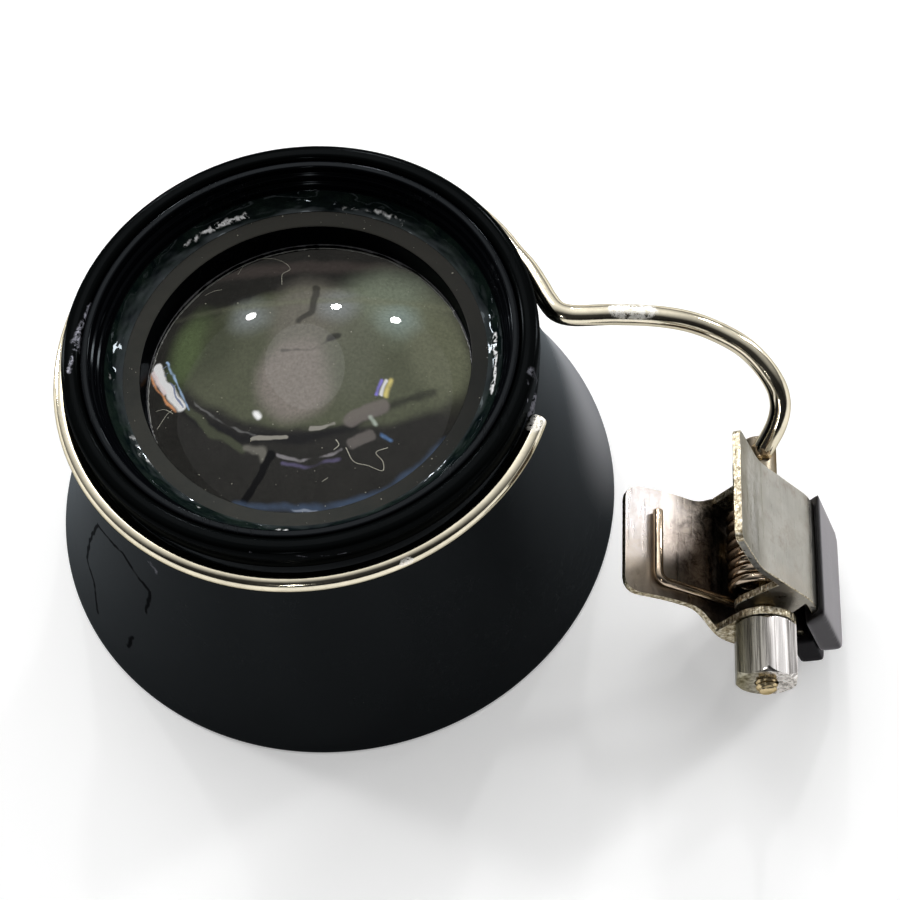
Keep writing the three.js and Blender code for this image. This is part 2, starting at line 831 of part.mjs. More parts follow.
function springGeometry() {
  const route = springRoute();
  const gap = leastSelfGap(route);
  console.log(`torsion spring: least gap to itself ${gap.toFixed(3)} mm, at least ${minimumSpringGap} wanted`);
  const side = new THREE.Vector3(1, 0, 0);
  const rings = route.map((point, i) => {
    const before = route[Math.max(i - 1, 0)];
    const after = route[Math.min(i + 1, route.length - 1)];
    const forward = after.clone().sub(before).normalize();
    side.addScaledVector(forward, -side.dot(forward)).normalize();
    const up = forward.clone().cross(side);
    const ring = [];
    for (let k = 0; k < springSides; k += 1) {
      const angle = (fullTurn * k) / springSides;
      const out = side.clone().multiplyScalar(Math.cos(angle)).addScaledVector(up, Math.sin(angle));
      ring.push(point.clone().addScaledVector(out, springWire / 2));
    }
    return ring;
  });
  return geometryOf(solid(loft(rings)));
}

// Assembly

const nickel = { color: 0xb9b4aa, roughness: 0.28, metalness: 1 };

function metal(name, geometry, { color, roughness, metalness } = nickel) {
  return mesh(name, geometry, color, roughness, metalness);
}

function buildLoupe() {
  const body = new THREE.Group();
  body.add(mesh('eyecup', eyecupGeometry(), 0x101517, 0.25, 0));
  body.add(mesh('lens_cell', lensCellGeometry(), 0x08090b, 0.2, 0));
  body.add(mesh('retaining_ring', retainingRingGeometry(), 0x24221f, 0.35, 0));
  body.add(mesh('lens', lensGeometry(), 0xd6dbd6, 0.03, 0));
  body.add(metal('clip_wire', clipWireGeometry()));
  body.add(metal('wire_solder', solderGeometry()));
  return body;
}

function buildClip() {
  const clip = new THREE.Group();
  clip.position.set(axleFromLoupe, 0, axleHeight);
  clip.add(metal('axle_barrel', barrelGeometry()));
  clip.add(metal('axle_screw', rodGeometry(), { color: 0xb59a5a, roughness: 0.35, metalness: 1 }));
  clip.add(metal('hex_nut', nutGeometry()));
  clip.add(metal('back_jaw_plate', backPlateGeometry()));
  clip.add(metal('front_jaw_plate', frontPlateGeometry()));
  clip.add(metal('torsion_spring', springGeometry()));
  const frontPad = padGeometry(frontJawOffset, padFrontMouth, padFrontInnerMouth, padFrontTip, 1);
  const backPad = padGeometry(backJawOffset, padBackMouth, padBackMouth, padBackTip, -1);
  clip.add(padMesh('front_jaw_pad', frontPad));
  clip.add(padMesh('back_jaw_pad', backPad));
  return clip;
}

// The origin lies on the table, at the middle of the whole object's footprint
const loupe = new THREE.Group();
loupe.add(buildLoupe(), buildClip());
loupe.updateMatrixWorld(true);
const footprint = new THREE.Box3().setFromObject(loupe, true).getCenter(new THREE.Vector3());
loupe.position.set(-footprint.x, -footprint.y, 0);

export default loupe;
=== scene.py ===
import math
import random

import bmesh
import bpy
from mathutils import Matrix, Vector, noise
from mathutils.bvhtree import BVHTree


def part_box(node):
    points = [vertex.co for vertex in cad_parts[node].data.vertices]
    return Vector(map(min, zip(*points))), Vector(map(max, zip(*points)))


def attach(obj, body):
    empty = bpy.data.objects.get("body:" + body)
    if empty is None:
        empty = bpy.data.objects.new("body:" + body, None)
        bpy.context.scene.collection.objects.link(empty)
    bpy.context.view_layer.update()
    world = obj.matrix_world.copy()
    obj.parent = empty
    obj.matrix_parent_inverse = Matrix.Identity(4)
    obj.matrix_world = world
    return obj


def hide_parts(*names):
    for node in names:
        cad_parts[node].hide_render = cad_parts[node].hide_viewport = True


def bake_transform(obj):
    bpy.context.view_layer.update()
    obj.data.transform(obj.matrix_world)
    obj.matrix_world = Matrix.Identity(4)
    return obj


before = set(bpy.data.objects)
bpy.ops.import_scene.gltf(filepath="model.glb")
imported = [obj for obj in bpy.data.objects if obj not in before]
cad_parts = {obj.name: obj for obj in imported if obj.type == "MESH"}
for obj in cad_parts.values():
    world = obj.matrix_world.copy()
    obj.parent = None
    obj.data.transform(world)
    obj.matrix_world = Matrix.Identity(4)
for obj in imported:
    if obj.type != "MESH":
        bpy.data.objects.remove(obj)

bpy.context.scene.view_settings.view_transform = "Standard"
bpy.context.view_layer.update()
random.seed(7)

# Units: places and sizes below are in millimetres until a mesh is made
millimetre = 0.001
degree = math.pi / 180
full_turn = 2 * math.pi


def node_box(node):
    low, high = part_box(node)
    return low / millimetre, high / millimetre


cup_low, cup_high = node_box("eyecup")
cell_low, cell_high = node_box("lens_cell")
ring_low, ring_high = node_box("retaining_ring")
lens_low, lens_high = node_box("lens")
rod_low, rod_high = node_box("axle_screw")
barrel_low, barrel_high = node_box("axle_barrel")
nut_low, nut_high = node_box("hex_nut")

loupe_centre = Vector(((cup_low.x + cup_high.x) / 2, 0, 0))
axle_centre = Vector(((rod_low.x + rod_high.x) / 2, 0, (rod_low.z + rod_high.z) / 2))
eye_radius = (cup_high.x - cup_low.x) / 2
body_height = cup_high.z
cell_radius = (cell_high.x - cell_low.x) / 2
ring_radius = (ring_high.x - ring_low.x) / 2
lens_radius = (lens_high.x - lens_low.x) / 2
axle_from_loupe = axle_centre.x - loupe_centre.x


def linked(name, data):
    """An object in the scene's collection."""
    made = bpy.data.objects.new(name, data)
    bpy.context.scene.collection.objects.link(made)
    return made


# Camera of the photograph

camera_place = Vector((18.767, -61.504, 117.690))   # from the foot of the loupe's axis
camera_azimuth = 10.0
camera_elevation = 60.789
camera_roll = -8.46
camera_lens = 80.0
sensor_width = 36.0
photo_side = 900.0


def camera_axes():
    azimuth = camera_azimuth * degree
    elevation = camera_elevation * degree
    roll = camera_roll * degree
    level = Vector((math.cos(azimuth), math.sin(azimuth), 0))
    back = Vector((math.sin(azimuth) * math.cos(elevation),
                   -math.cos(azimuth) * math.cos(elevation),
                   math.sin(elevation)))
    upright = back.cross(level)
    right = math.cos(roll) * level + math.sin(roll) * upright
    return right, back.cross(right), back


def make_camera():
    right, up, back = camera_axes()
    data = bpy.data.cameras.new("camera")
    data.lens = camera_lens
    data.sensor_width = sensor_width
    data.clip_start = 0.005
    data.clip_end = 20
    camera = linked("camera", data)
    turn = Matrix((right, up, back)).transposed().to_4x4()
    camera.matrix_world = Matrix.Translation((loupe_centre + camera_place) * millimetre) @ turn
    bpy.context.scene.camera = camera


def sight(pixel):
    """The camera's place, and the direction in which it sees a pixel of the photograph."""
    right, up, back = camera_axes()
    reach = camera_lens / sensor_width * photo_side
    across = (pixel[0] - photo_side / 2) / reach
    down = (pixel[1] - photo_side / 2) / reach
    return loupe_centre + camera_place, (across * right - down * up - back).normalized()


def surface_tree(mesh):
    corners = [vertex.co.copy() for vertex in mesh.vertices]
    return BVHTree.FromPolygons(corners, [tuple(polygon.vertices) for polygon in mesh.polygons])


def landing(pixel, node):
    """Where the camera's sight through a pixel of the photograph meets a CAD node."""
    if node not in node_trees:
        node_trees[node] = surface_tree(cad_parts[node].data)
    start, direction = sight(pixel)
    place = node_trees[node].ray_cast(start * millimetre, direction)[0]
    if place is None:
        raise ValueError(f"the sight through {pixel} misses {node}")
    return place / millimetre


def level_with(pixel, height):
    """Where the camera's sight through a pixel of the photograph comes down to a height."""
    start, direction = sight(pixel)
    return start + direction * ((height - start.z) / direction.z)


node_trees = {}
make_camera()


# Meshes

def mesh_object(name, points, faces, sharp=40):
    """A closed mesh from points in millimetres, shaded smooth but for edges over sharp degrees."""
    mesh = bpy.data.meshes.new(name)
    mesh.from_pydata([Vector(p) * millimetre for p in points], [], faces)
    made = linked(name, mesh)
    clean(mesh)
    finish_normals(made, sharp)
    return made


weld_distance = 1e-7


def clean(mesh):
    work = bmesh.new()
    work.from_mesh(mesh)
    bmesh.ops.remove_doubles(work, verts=work.verts, dist=weld_distance)
    bmesh.ops.dissolve_degenerate(work, edges=work.edges, dist=weld_distance)
    bmesh.ops.recalc_face_normals(work, faces=work.faces)
    work.to_mesh(mesh)
    work.free()


def finish_normals(made, sharp):
    made.data.polygons.foreach_set("use_smooth", [True] * len(made.data.polygons))
    made.data.set_sharp_from_angle(angle=sharp * degree)
    normals = made.modifiers.new("normals", "WEIGHTED_NORMAL")
    normals.keep_sharp = True


def settle(piece, body, slot, finish, *nodes):
    """Gives a piece its material and its body, and hides the CAD nodes that it stands for. The slot is not
    used.
    """
    for material in finish if isinstance(finish, list) else [finish]:
        piece.data.materials.append(material)
    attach(piece, body)
    if nodes:
        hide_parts(*nodes)


def curve(start, corner, end, steps):
    """A curve from start to end, pulled towards the corner."""
    shares = [i / steps for i in range(steps + 1)]
    return [start.lerp(corner, share).lerp(corner.lerp(end, share), share) for share in shares]


def around(angle, radius=1.0, height=0.0):
    return Vector((radius * math.cos(angle), radius * math.sin(angle), height))


def across_axle(angle, radius=1.0, y=0.0):
    """A place round the axle, by its angle from +X towards +Z."""
    return Vector((radius * math.cos(angle), y, radius * math.sin(angle)))


def rounded(corners, steps=6):
    """A closed outline of (radius, height, fillet) corners, its corners rounded."""
    outline = []
    for i, (radius, height, fillet) in enumerate(corners):
        corner = Vector((radius, height))
        if not fillet:
            outline.append(corner)
            continue
        before = Vector(corners[i - 1][:2])
        after = Vector(corners[(i + 1) % len(corners)][:2])
        reach_before = min(fillet, (before - corner).length / 2)
        reach_after = min(fillet, (after - corner).length / 2)
        start = corner + (before - corner).normalized() * reach_before
        end = corner + (after - corner).normalized() * reach_after
        outline += curve(start, corner, end, steps)
    return outline


def ring_faces(rings, sides, closed=False):
    """The faces between rings of points. Closed joins the last ring to the first."""
    faces = []
    for i in range(rings if closed else rings - 1):
        here, there = i * sides, (i + 1) % rings * sides
        for k in range(sides):
            after = (k + 1) % sides
            faces.append((here + k, here + after, there + after, there + k))
    return faces


def end_faces(rings, sides):
    return [tuple(range(sides - 1, -1, -1)), tuple(range((rings - 1) * sides, rings * sides))]


def turned(name, profile, centre, sides=256, along_y=False, wave=None, sharp=40):
    """A closed profile of (radius, height) turned about a line through centre."""
    points = []
    for i in range(sides):
        angle = full_turn * i / sides
        for radius, height in profile:
            if wave:
                radius, height = wave(radius, height, angle)
            x, y = radius * math.cos(angle), radius * math.sin(angle)
            points.append(centre + (Vector((x, height, y)) if along_y else Vector((x, y, height))))
    return mesh_object(name, points, ring_faces(sides, len(profile), True), sharp)


def centripetal(points, spacing):
    """A smooth route through the points, in steps of about that spacing."""
    ends = [points[0] * 2 - points[1]] + list(points) + [points[-1] * 2 - points[-2]]
    route = []
    for i in range(1, len(ends) - 2):
        quad = ends[i - 1:i + 3]
        times = [0.0]
        for a, b in zip(quad, quad[1:]):
            times.append(times[-1] + max((b - a).length, 1e-6) ** 0.5)
        steps = max(1, round((quad[2] - quad[1]).length / spacing))
        for k in range(steps):
            at = times[1] + (times[2] - times[1]) * k / steps
            route.append(neville(quad, times, at))
    route.append(points[-1].copy())
    return route


def neville(quad, times, at):
    def between(a, b, start, end):
        return a.lerp(b, (at - start) / (end - start))
    first = [between(quad[i], quad[i + 1], times[i], times[i + 1]) for i in range(3)]
    second = [between(first[i], first[i + 1], times[i], times[i + 2]) for i in range(2)]
    return between(second[0], second[1], times[1], times[2])


def tube(name, route, radius, sides=24, cap_rings=4):
    """A round tube with domed ends; radius is a number or a function of the share of the route."""
    dome_flatness = 0.35
    side = Vector((0, 0, 1))
    last = len(route) - 1
    rings = []
    for i, place in enumerate(route):
        forward = (route[min(i + 1, last)] - route[max(i - 1, 0)]).normalized()
        side = (side - forward * side.dot(forward)).normalized()
        rings.append((place, forward, side.copy(), radius(i / last) if callable(radius) else radius))
    for end, sign in ((rings[0], -1), (rings[-1], 1)):
        place, forward, side, size = end
        for k in range(1, cap_rings + 1):
            tilt = math.pi / 2 * k / (cap_rings + 0.5)
            out = sign * size * dome_flatness * math.sin(tilt)
            cap = (place + forward * out, forward, side, size * math.cos(tilt))
            rings.insert(len(rings) if sign > 0 else 0, cap)
    points = []
    for place, forward, side, size in rings:
        up = forward.cross(side)
        for k in range(sides):
            angle = full_turn * k / sides
            points.append(place + (side * math.cos(angle) + up * math.sin(angle)) * size)
    faces = ring_faces(len(rings), sides) + end_faces(len(rings), sides)
    return mesh_object(name, points, faces, 60)


def node_copy(name, node):
    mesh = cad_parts[node].data.copy()
    mesh.materials.clear()
    mesh.name = name
    return linked(name, mesh)


def reshape(piece, kind, **settings):
    """Applies a modifier to a piece."""
    modifier = piece.modifiers.new(kind.lower(), kind)
    for key, value in settings.items():
        setattr(modifier, key, value)
    bpy.context.view_layer.objects.active = piece
    bpy.ops.object.modifier_apply(modifier=modifier.name)


def rounded_copy(name, node, edge, segments, edge_material=-1, sharp=30):
    """A node's own shape with its flat faces made whole and its edges rounded."""
    flat_angle = 0.6 * degree
    piece = node_copy(name, node)
    work = bmesh.new()
    work.from_mesh(piece.data)
    bmesh.ops.remove_doubles(work, verts=work.verts, dist=weld_distance)
    bmesh.ops.dissolve_limit(work, angle_limit=flat_angle, verts=work.verts, edges=work.edges)
    work.to_mesh(piece.data)
    work.free()
    reshape(piece, "BEVEL", width=edge * millimetre, segments=segments, limit_method="ANGLE",
            angle_limit=sharp * degree, miter_outer="MITER_ARC", harden_normals=False, material=edge_material)
    if edge_material >= 0:
        mark_cut_edges(piece.data, edge_material)
    finish_normals(piece, sharp)
    return piece


def mark_cut_edges(mesh, edge_material):
    """Gives the edge material to the faces from which the metal behind is deeper than the sheet."""
    deep = 0.6 * millimetre
    inset = 0.01 * millimetre
    solid = surface_tree(mesh)
    for polygon in mesh.polygons:
        inward = -polygon.normal
        depth = solid.ray_cast(polygon.center + inward * inset, inward)[3]
        if depth is None or depth > deep:
            polygon.material_index = edge_material


def softened_copy(name, node, grain, passes):
    """A node's own shape as a rounded rubber moulding."""
    piece = node_copy(name, node)
    reshape(piece, "REMESH", mode="VOXEL", voxel_size=grain * millimetre)
    reshape(piece, "SMOOTH", factor=0.5, iterations=passes)
    piece.data.polygons.foreach_set("use_smooth", [True] * len(piece.data.polygons))
    return piece


# Node materials

plastic_index = 1.45
glass_index = 1.52


class Nodes:
    """A node tree, with short ways to add nodes and to join them."""

    def __init__(self, tree):
        self.tree = tree

    def add(self, kind, inputs=None, **settings):
        made = self.tree.nodes.new("ShaderNode" + kind)
        for key, value in settings.items():
            setattr(made, key, value)
        for socket, value in (inputs or {}).items():
            self.feed(value, made.inputs[socket])
        return made

    def feed(self, value, socket):
        """Links an output to the socket, and sets anything else on the socket itself."""
        if isinstance(value, bpy.types.NodeSocket):
            self.tree.links.new(value, socket)
        else:
            socket.default_value = value

    def math(self, operation, a, b=0.0):
        return self.add("Math", {0: a, 1: b}, operation=operation).outputs["Value"]

    def times(self, a, b):
        return self.math("MULTIPLY", a, b)

    def ranged(self, source, low, high, to_low=0.0, to_high=1.0, **settings):
        inputs = {"Value": source, "From Min": low, "From Max": high, "To Min": to_low, "To Max": to_high}
        return self.add("MapRange", inputs, **settings).outputs["Result"]


class Finish(Nodes):
    """A material, which paints by places on the piece in millimetres."""

    def __init__(self, name, color, roughness, metallic=0.0, **sockets):
        self.material = bpy.data.materials.new(name)
        self.material.use_nodes = True
        super().__init__(self.material.node_tree)
        self.shader = self.tree.nodes["Principled BSDF"]
        self.set("Base Color", (*color, 1))
        self.set("Roughness", roughness)
        self.set("Metallic", metallic)
        for socket, value in sockets.items():
            self.set(socket.replace("_", " "), value)
        self.places = self.mapped((1, 1, 1))

    def set(self, socket, value):
        self.feed(value, self.shader.inputs[socket])

    def source(self, socket):
        return self.shader.inputs[socket].links[0].from_socket

    def mapped(self, scale, turn=0):
        inputs = {
            "Vector": self.add("TexCoord").outputs["Object"],
            "Scale": [s / millimetre for s in scale],
            "Rotation": (0, 0, turn * degree),
        }
        return self.add("Mapping", inputs, vector_type="POINT").outputs["Vector"]

    def noise(self, scale, detail=3.0, roughness=0.55, places=None, distortion=0.0):
        inputs = {"Vector": places or self.places, "Scale": scale, "Detail": detail,
                  "Roughness": roughness, "Distortion": distortion}
        return self.add("TexNoise", inputs).outputs["Fac"]

    def ramp(self, source, *stops):
        """A colour or a shade along the source, from stops of a position and a value."""
        made = self.add("ValToRGB", {"Fac": source})
        elements = made.color_ramp.elements
        while len(elements) < len(stops):
            elements.new(0.5)
        for element, (place, value) in zip(elements, stops):
            element.position = place
            element.color = (*value, 1) if isinstance(value, tuple) else (value, value, value, 1)
        return made.outputs["Color"]

    def mix(self, factor, a, b):
        a, b = [(*color, 1) if isinstance(color, tuple) else color for color in (a, b)]
        return self.add("Mix", {"Factor": factor, "A": a, "B": b}, data_type="RGBA").outputs["Result"]

    def along(self, axis):
        return self.add("SeparateXYZ", {"Vector": self.places}).outputs[axis]

    def vector(self, operation, a, b=None, scale=None):
        inputs = {0: a, 1: b, "Scale": scale}
        inputs = {socket: value for socket, value in inputs.items() if value is not None}
        made = self.add("VectorMath", inputs, operation=operation)
        return made.outputs["Value" if operation in ("LENGTH", "DOT_PRODUCT") else "Vector"]

    def wobble(self, scale, reach):
        """Makes the outlines of what is painted later uneven."""
        cloud = self.add("TexNoise", {"Vector": self.places, "Scale": scale}).outputs["Color"]
        shift = self.vector("SUBTRACT", cloud, (0.5, 0.5, 0.5))
        self.places = self.vector("ADD", self.places, self.vector("SCALE", shift, scale=reach))

    def fade(self, distance, radius, softness):
        """1 well within the radius, fading to 0 outside it."""
        outside, inside = radius * (1 + softness), radius * (1 - softness)
        return self.ranged(distance, outside, inside, interpolation_type="SMOOTHSTEP")

    def spot(self, place, width, height, turn=0, softness=0.4):
        """1 within an upright column over an ellipse round a place, fading to 0 outside it."""
        inputs = {
            "Vector": self.vector("SUBTRACT", self.places, tuple(place)),
            "Rotation": (0, 0, turn * degree),
            "Scale": (width / 2, height / 2, 1),
        }
        offset = self.add("Mapping", inputs, vector_type="TEXTURE").outputs["Vector"]
        flat = self.vector("MULTIPLY", offset, (1.0, 1.0, 0.0))
        return self.fade(self.vector("LENGTH", flat), 1, softness)

    def stroke(self, places, width, softness=0.4):
        """1 along a line through the places, fading to 0 outside its width."""
        nearest = None
        for start, end in zip(places, places[1:]):
            run = end - start
            offset = self.vector("SUBTRACT", self.places, tuple(start))
            share = self.math("DIVIDE", self.vector("DOT_PRODUCT", offset, tuple(run)), run.length_squared)
            share = self.math("MINIMUM", self.math("MAXIMUM", share, 0.0), 1.0)
            scaled = self.vector("SCALE", tuple(run), scale=share)
            away = self.vector("LENGTH", self.vector("SUBTRACT", offset, scaled))
            nearest = away if nearest is None else self.math("MINIMUM", nearest, away)
        return self.fade(nearest, width / 2, softness)

    def line(self, node, pixels, width, softness=0.4):
        """A stroke on a CAD node, through pixels of the photograph."""
        return self.stroke([landing(pixel, node) for pixel in pixels], width, softness)

    def paint(self, under, mask, color, strength=1.0):
        return self.mix(self.times(mask, strength), under, color)

    def blended(self, share, first, second):
        """The first shader, and the second as far as the share says."""
        return self.add("MixShader", {"Fac": share, 1: first.outputs[0], 2: second.outputs[0]})

    def surface(self, shader):
        self.feed(shader.outputs[0], self.tree.nodes["Material Output"].inputs["Surface"])

    def glaze(self, share, least=0.0, tint=(0.84, 0.93, 1.0), dull=None):
        """Lets the surface mirror a share of what bare plastic does, and less where it is dull."""
        self.set("Specular IOR Level", 0.0)
        grazing = self.add("Fresnel", {"IOR": plastic_index})
        roughness = self.shader.inputs["Roughness"].default_value
        mirror = self.add("BsdfAnisotropic", {"Color": (*tint, 1), "Roughness": roughness})
        for socket, followers in (("Roughness", [mirror]), ("Normal", [mirror, grazing])):
            for link in self.shader.inputs[socket].links:
                for follower in followers:
                    self.feed(link.from_socket, follower.inputs[socket])
        mirrored_share = self.math("ADD", self.times(grazing.outputs["Fac"], share), least)
        if dull is not None:
            mirrored_share = self.times(mirrored_share, self.math("SUBTRACT", 1.0, dull))
        self.surface(self.blended(mirrored_share, self.shader, mirror))

    def bump(self, height, depth, under=None):
        inputs = {"Strength": 1, "Distance": depth * millimetre, "Height": height}
        if under is not None:
            inputs["Normal"] = under
        made = self.add("Bump", inputs).outputs["Normal"]
        self.set("Normal", made)
        return made


def scratches(finish, scale, turn):
    """Sparse fine lines: 1 on a scratch and 0 beside it."""
    level, thinness = 0.62, 0.02
    lines = finish.noise(scale, 2.0, 0.5, finish.mapped((1, 0.045, 1), turn), 0.3)
    middle = finish.math("ABSOLUTE", finish.math("SUBTRACT", lines, level))
    return finish.ramp(middle, (0.0, 1.0), (thinness, 0.0))


def dust(finish, scale, size):
    """Scattered specks: 1 on a speck."""
    specks = finish.add("TexVoronoi", {"Vector": finish.places, "Scale": scale}).outputs["Distance"]
    kept = finish.math("GREATER_THAN", finish.noise(scale * 0.37, 1.0), 0.56)
    return finish.times(finish.ramp(specks, (0.0, 1.0), (size, 0.0)), kept)


# Places in the photograph, in its pixels
# dark looped lines on the skirt: a painted reflection
dark_reflection_loops = [
    [(98, 525), (90, 540), (87, 558), (94, 582), (98, 612)],
    [(98, 525), (122, 552), (150, 592), (146, 612)],
    [(132, 636), (128, 646)],
]
# painted sheen: a pale smear for the reflection at the skirt's right edge
skirt_painted_sheen = [(560, 346), (576, 376), (588, 404)]
# pale strokes on the rim: painted highlights and sheen, and scuffs
rim_glints_and_scuffs = [   # pixels, width, strength
    ([(74, 350), (79, 330), (90, 306)], 0.3, 0.9),
    ([(80, 352), (86, 330), (97, 306)], 0.5, 0.4),
    ([(70, 372), (73, 352)], 0.22, 0.9),
    ([(99, 300), (112, 280), (124, 262)], 0.2, 0.8),
    ([(531, 372), (534, 396), (531, 420)], 0.45, 0.4),
    ([(526, 380), (527, 402)], 0.16, 0.8),
    ([(250, 551), (300, 556), (350, 553)], 0.08, 0.25),
    ([(150, 563), (156, 572)], 0.3, 0.2),
]
glue_glints = [   # pixels, width, strength
    ([(185, 245), (204, 232), (226, 222), (246, 216)], 0.3, 1.0),
    ([(343, 207), (368, 210), (388, 216), (402, 222)], 0.26, 0.8),
    ([(108, 392), (105, 368), (108, 336)], 0.34, 1.0),
    ([(135, 434), (143, 450), (158, 466)], 0.45, 1.0),
    ([(178, 492), (206, 508), (248, 522)], 0.22, 0.5),
    ([(494, 336), (496, 362), (492, 392)], 0.28, 0.9),
    ([(272, 527), (286, 529)], 0.3, 0.9),
]
lamp_glint_pixels = [(250, 316), (337, 306), (398, 320)]
softbox_pixel = (305, 365)
# painted highlights and dark reflections on the back tab, with tarnish
back_tab_painted_light_and_tarnish = [   # pixel, width, height, turn, softness, colour, strength
    ((648, 512), 5.0, 6.0, 0, 0.8, (0.36, 0.335, 0.33), 1.0),
    ((637, 500), 2.4, 3.6, 0, 0.6, (0.42, 0.4, 0.4), 1.0),
    ((672, 545), 2.6, 3.4, 0, 0.6, (0.28, 0.235, 0.2), 0.8),
    ((648, 575), 3.6, 1.8, 0, 0.6, (0.4, 0.34, 0.27), 0.8),
    ((708, 560), 4.2, 9.0, 0, 0.5, (0.05, 0.04, 0.035), 1.0),
    ((715, 520), 3.0, 3.4, 0, 0.5, (0.02, 0.018, 0.016), 1.0),
]
# painted highlights and shade on the front plate
front_plate_painted_light_and_shade = [
    ((754, 500), 0.9, 7.0, 0, 0.6, (0.8, 0.8, 0.8), 0.8),
    ((764, 520), 0.7, 7.0, 0, 0.6, (0.42, 0.41, 0.38), 0.8),
    ((800, 540), 1.4, 8.0, 0, 0.7, (0.42, 0.41, 0.38), 0.7),
    ((795, 590), 3.4, 2.2, 0, 0.6, (0.42, 0.38, 0.33), 0.6),
]
# painted reflections in the lens, and soft halos round its lamp glints
lens_painted_reflections = [   # pixel, width, height, turn, softness, colour, strength
    ((300, 268), 12.0, 1.1, 2, 0.6, (0.085, 0.07, 0.064), 0.7),
    ((322, 352), 17.6, 10.3, 0, 0.07, (0.125, 0.135, 0.088), 1.0),
    ((205, 345), 4.0, 5.0, 0, 0.5, (0.07, 0.08, 0.05), 0.7),
    ((187, 352), 1.9, 5.2, -12, 0.6, (0.125, 0.165, 0.08), 0.9),
    ((390, 305), 5.5, 5.0, 0, 0.6, (0.27, 0.31, 0.23), 0.9),
    ((438, 345), 3.6, 7.5, 10, 0.4, (0.2, 0.21, 0.14), 0.8),
    ((312, 322), 5.0, 6.4, 12, 0.4, (0.23, 0.215, 0.18), 0.9),
    ((296, 378), 4.8, 5.4, 0, 0.25, (0.31, 0.275, 0.245), 1.0),
    ((352, 350), 3.2, 6.5, 0, 0.6, (0.17, 0.18, 0.13), 0.8),
    ((250, 316), 2.0, 2.0, 0, 0.95, (0.4, 0.44, 0.46), 0.6),
    ((337, 306), 2.0, 2.0, 0, 0.95, (0.4, 0.44, 0.46), 0.6),
    ((398, 320), 2.0, 2.0, 0, 0.95, (0.36, 0.46, 0.44), 0.6),
    ((345, 300), 16.0, 0.5, 3, 0.8, (0.24, 0.25, 0.17), 0.5),
]
# painted reflections, glints and colour fringes in the lens
lens_painted_reflection_streaks = [   # pixels, width, softness, colour, strength
    ([(316, 288), (312, 312), (298, 322)], 0.45, 0.4, (0.05, 0.048, 0.042), 0.8),
    ([(282, 350), (310, 350), (334, 338)], 0.22, 0.6, (0.08, 0.075, 0.065), 0.7),
    ([(330, 338), (338, 336)], 0.45, 0.5, (0.03, 0.03, 0.028), 0.8),
    ([(172, 400), (198, 422), (240, 438), (300, 440), (352, 428)], 0.65, 0.7, (0.012, 0.012, 0.014), 0.85),
    ([(352, 428), (396, 403), (432, 393)], 0.45, 0.9, (0.02, 0.02, 0.02), 0.65),
    ([(350, 421), (382, 406)], 0.95, 0.3, (0.25, 0.22, 0.205), 0.8),
    ([(352, 446), (370, 436)], 0.65, 0.3, (0.2, 0.18, 0.17), 0.8),
    ([(188, 410), (212, 432), (244, 450)], 0.5, 0.5, (0.09, 0.1, 0.065), 0.9),
    ([(190, 398), (214, 420), (256, 436)], 0.14, 0.6, (0.3, 0.3, 0.3), 0.5),
    ([(254, 439), (272, 439), (285, 437)], 0.3, 0.3, (0.42, 0.4, 0.35), 0.9),
    ([(311, 429), (324, 427), (334, 423)], 0.28, 0.3, (0.42, 0.4, 0.36), 0.9),
    ([(248, 448), (262, 452), (264, 458)], 0.5, 0.5, (0.24, 0.23, 0.2), 0.8),
    ([(276, 456), (300, 461), (330, 455), (340, 450)], 0.24, 0.4, (0.36, 0.34, 0.36), 0.8),
    ([(270, 456), (258, 478), (245, 501)], 0.5, 0.25, (0.004, 0.004, 0.005), 1.0),
    ([(282, 464), (304, 467), (338, 459)], 0.22, 0.9, (0.16, 0.14, 0.26), 0.8),
    ([(236, 504), (262, 508), (300, 510), (350, 504), (392, 487), (424, 464), (446, 442)],
     0.45, 0.9, (0.08, 0.12, 0.2), 0.8),
    ([(262, 509), (300, 512), (345, 508)], 0.16, 0.6, (0.4, 0.45, 0.55), 0.7),
    ([(150, 372), (158, 392), (176, 412)], 0.16, 0.8, (0.9, 0.42, 0.2), 0.9),
    ([(158, 368), (164, 386), (181, 408)], 0.6, 0.3, (1.0, 1.0, 1.0), 1.0),
    ([(154, 374), (164, 394)], 0.3, 0.6, (1.0, 0.86, 0.86), 0.9),
    ([(166, 376), (174, 394), (182, 408)], 0.12, 0.5, (0.1, 0.16, 0.36), 0.8),
    ([(167, 362), (176, 386), (189, 410)], 0.14, 0.8, (0.5, 0.7, 1.0), 0.9),
    *[([inner, outer], 0.05, 0.6, (0.36, 0.42, 0.6), 0.8) for inner, outer in (
        ((152, 380), (166, 366)), ((154, 386), (168, 373)), ((157, 392), (171, 380)),
        ((161, 398), (174, 387)), ((166, 404), (178, 394)))],
    ([(382, 380), (376, 394)], 0.2, 0.9, (0.35, 0.3, 0.95), 0.9),
    ([(392, 380), (386, 395)], 0.3, 0.9, (1.0, 0.85, 0.3), 0.9),
    ([(387, 380), (381, 394)], 0.26, 0.6, (1.0, 1.0, 1.0), 1.0),
    ([(256, 413), (258, 416)], 0.35, 0.8, (1.4, 1.4, 1.4), 1.0),
    ([(382, 434), (390, 440)], 0.25, 0.9, (0.2, 0.4, 0.8), 0.6),
    ([(371, 418), (376, 425)], 0.25, 0.9, (0.7, 0.8, 0.7), 0.7),
]
wire_patches = [   # pixels, width
    ([(618, 309), (648, 310)], 1.1),
    ([(403, 562), (410, 560)], 0.4),
    ([(533, 424), (540, 419)], 1.0),
]
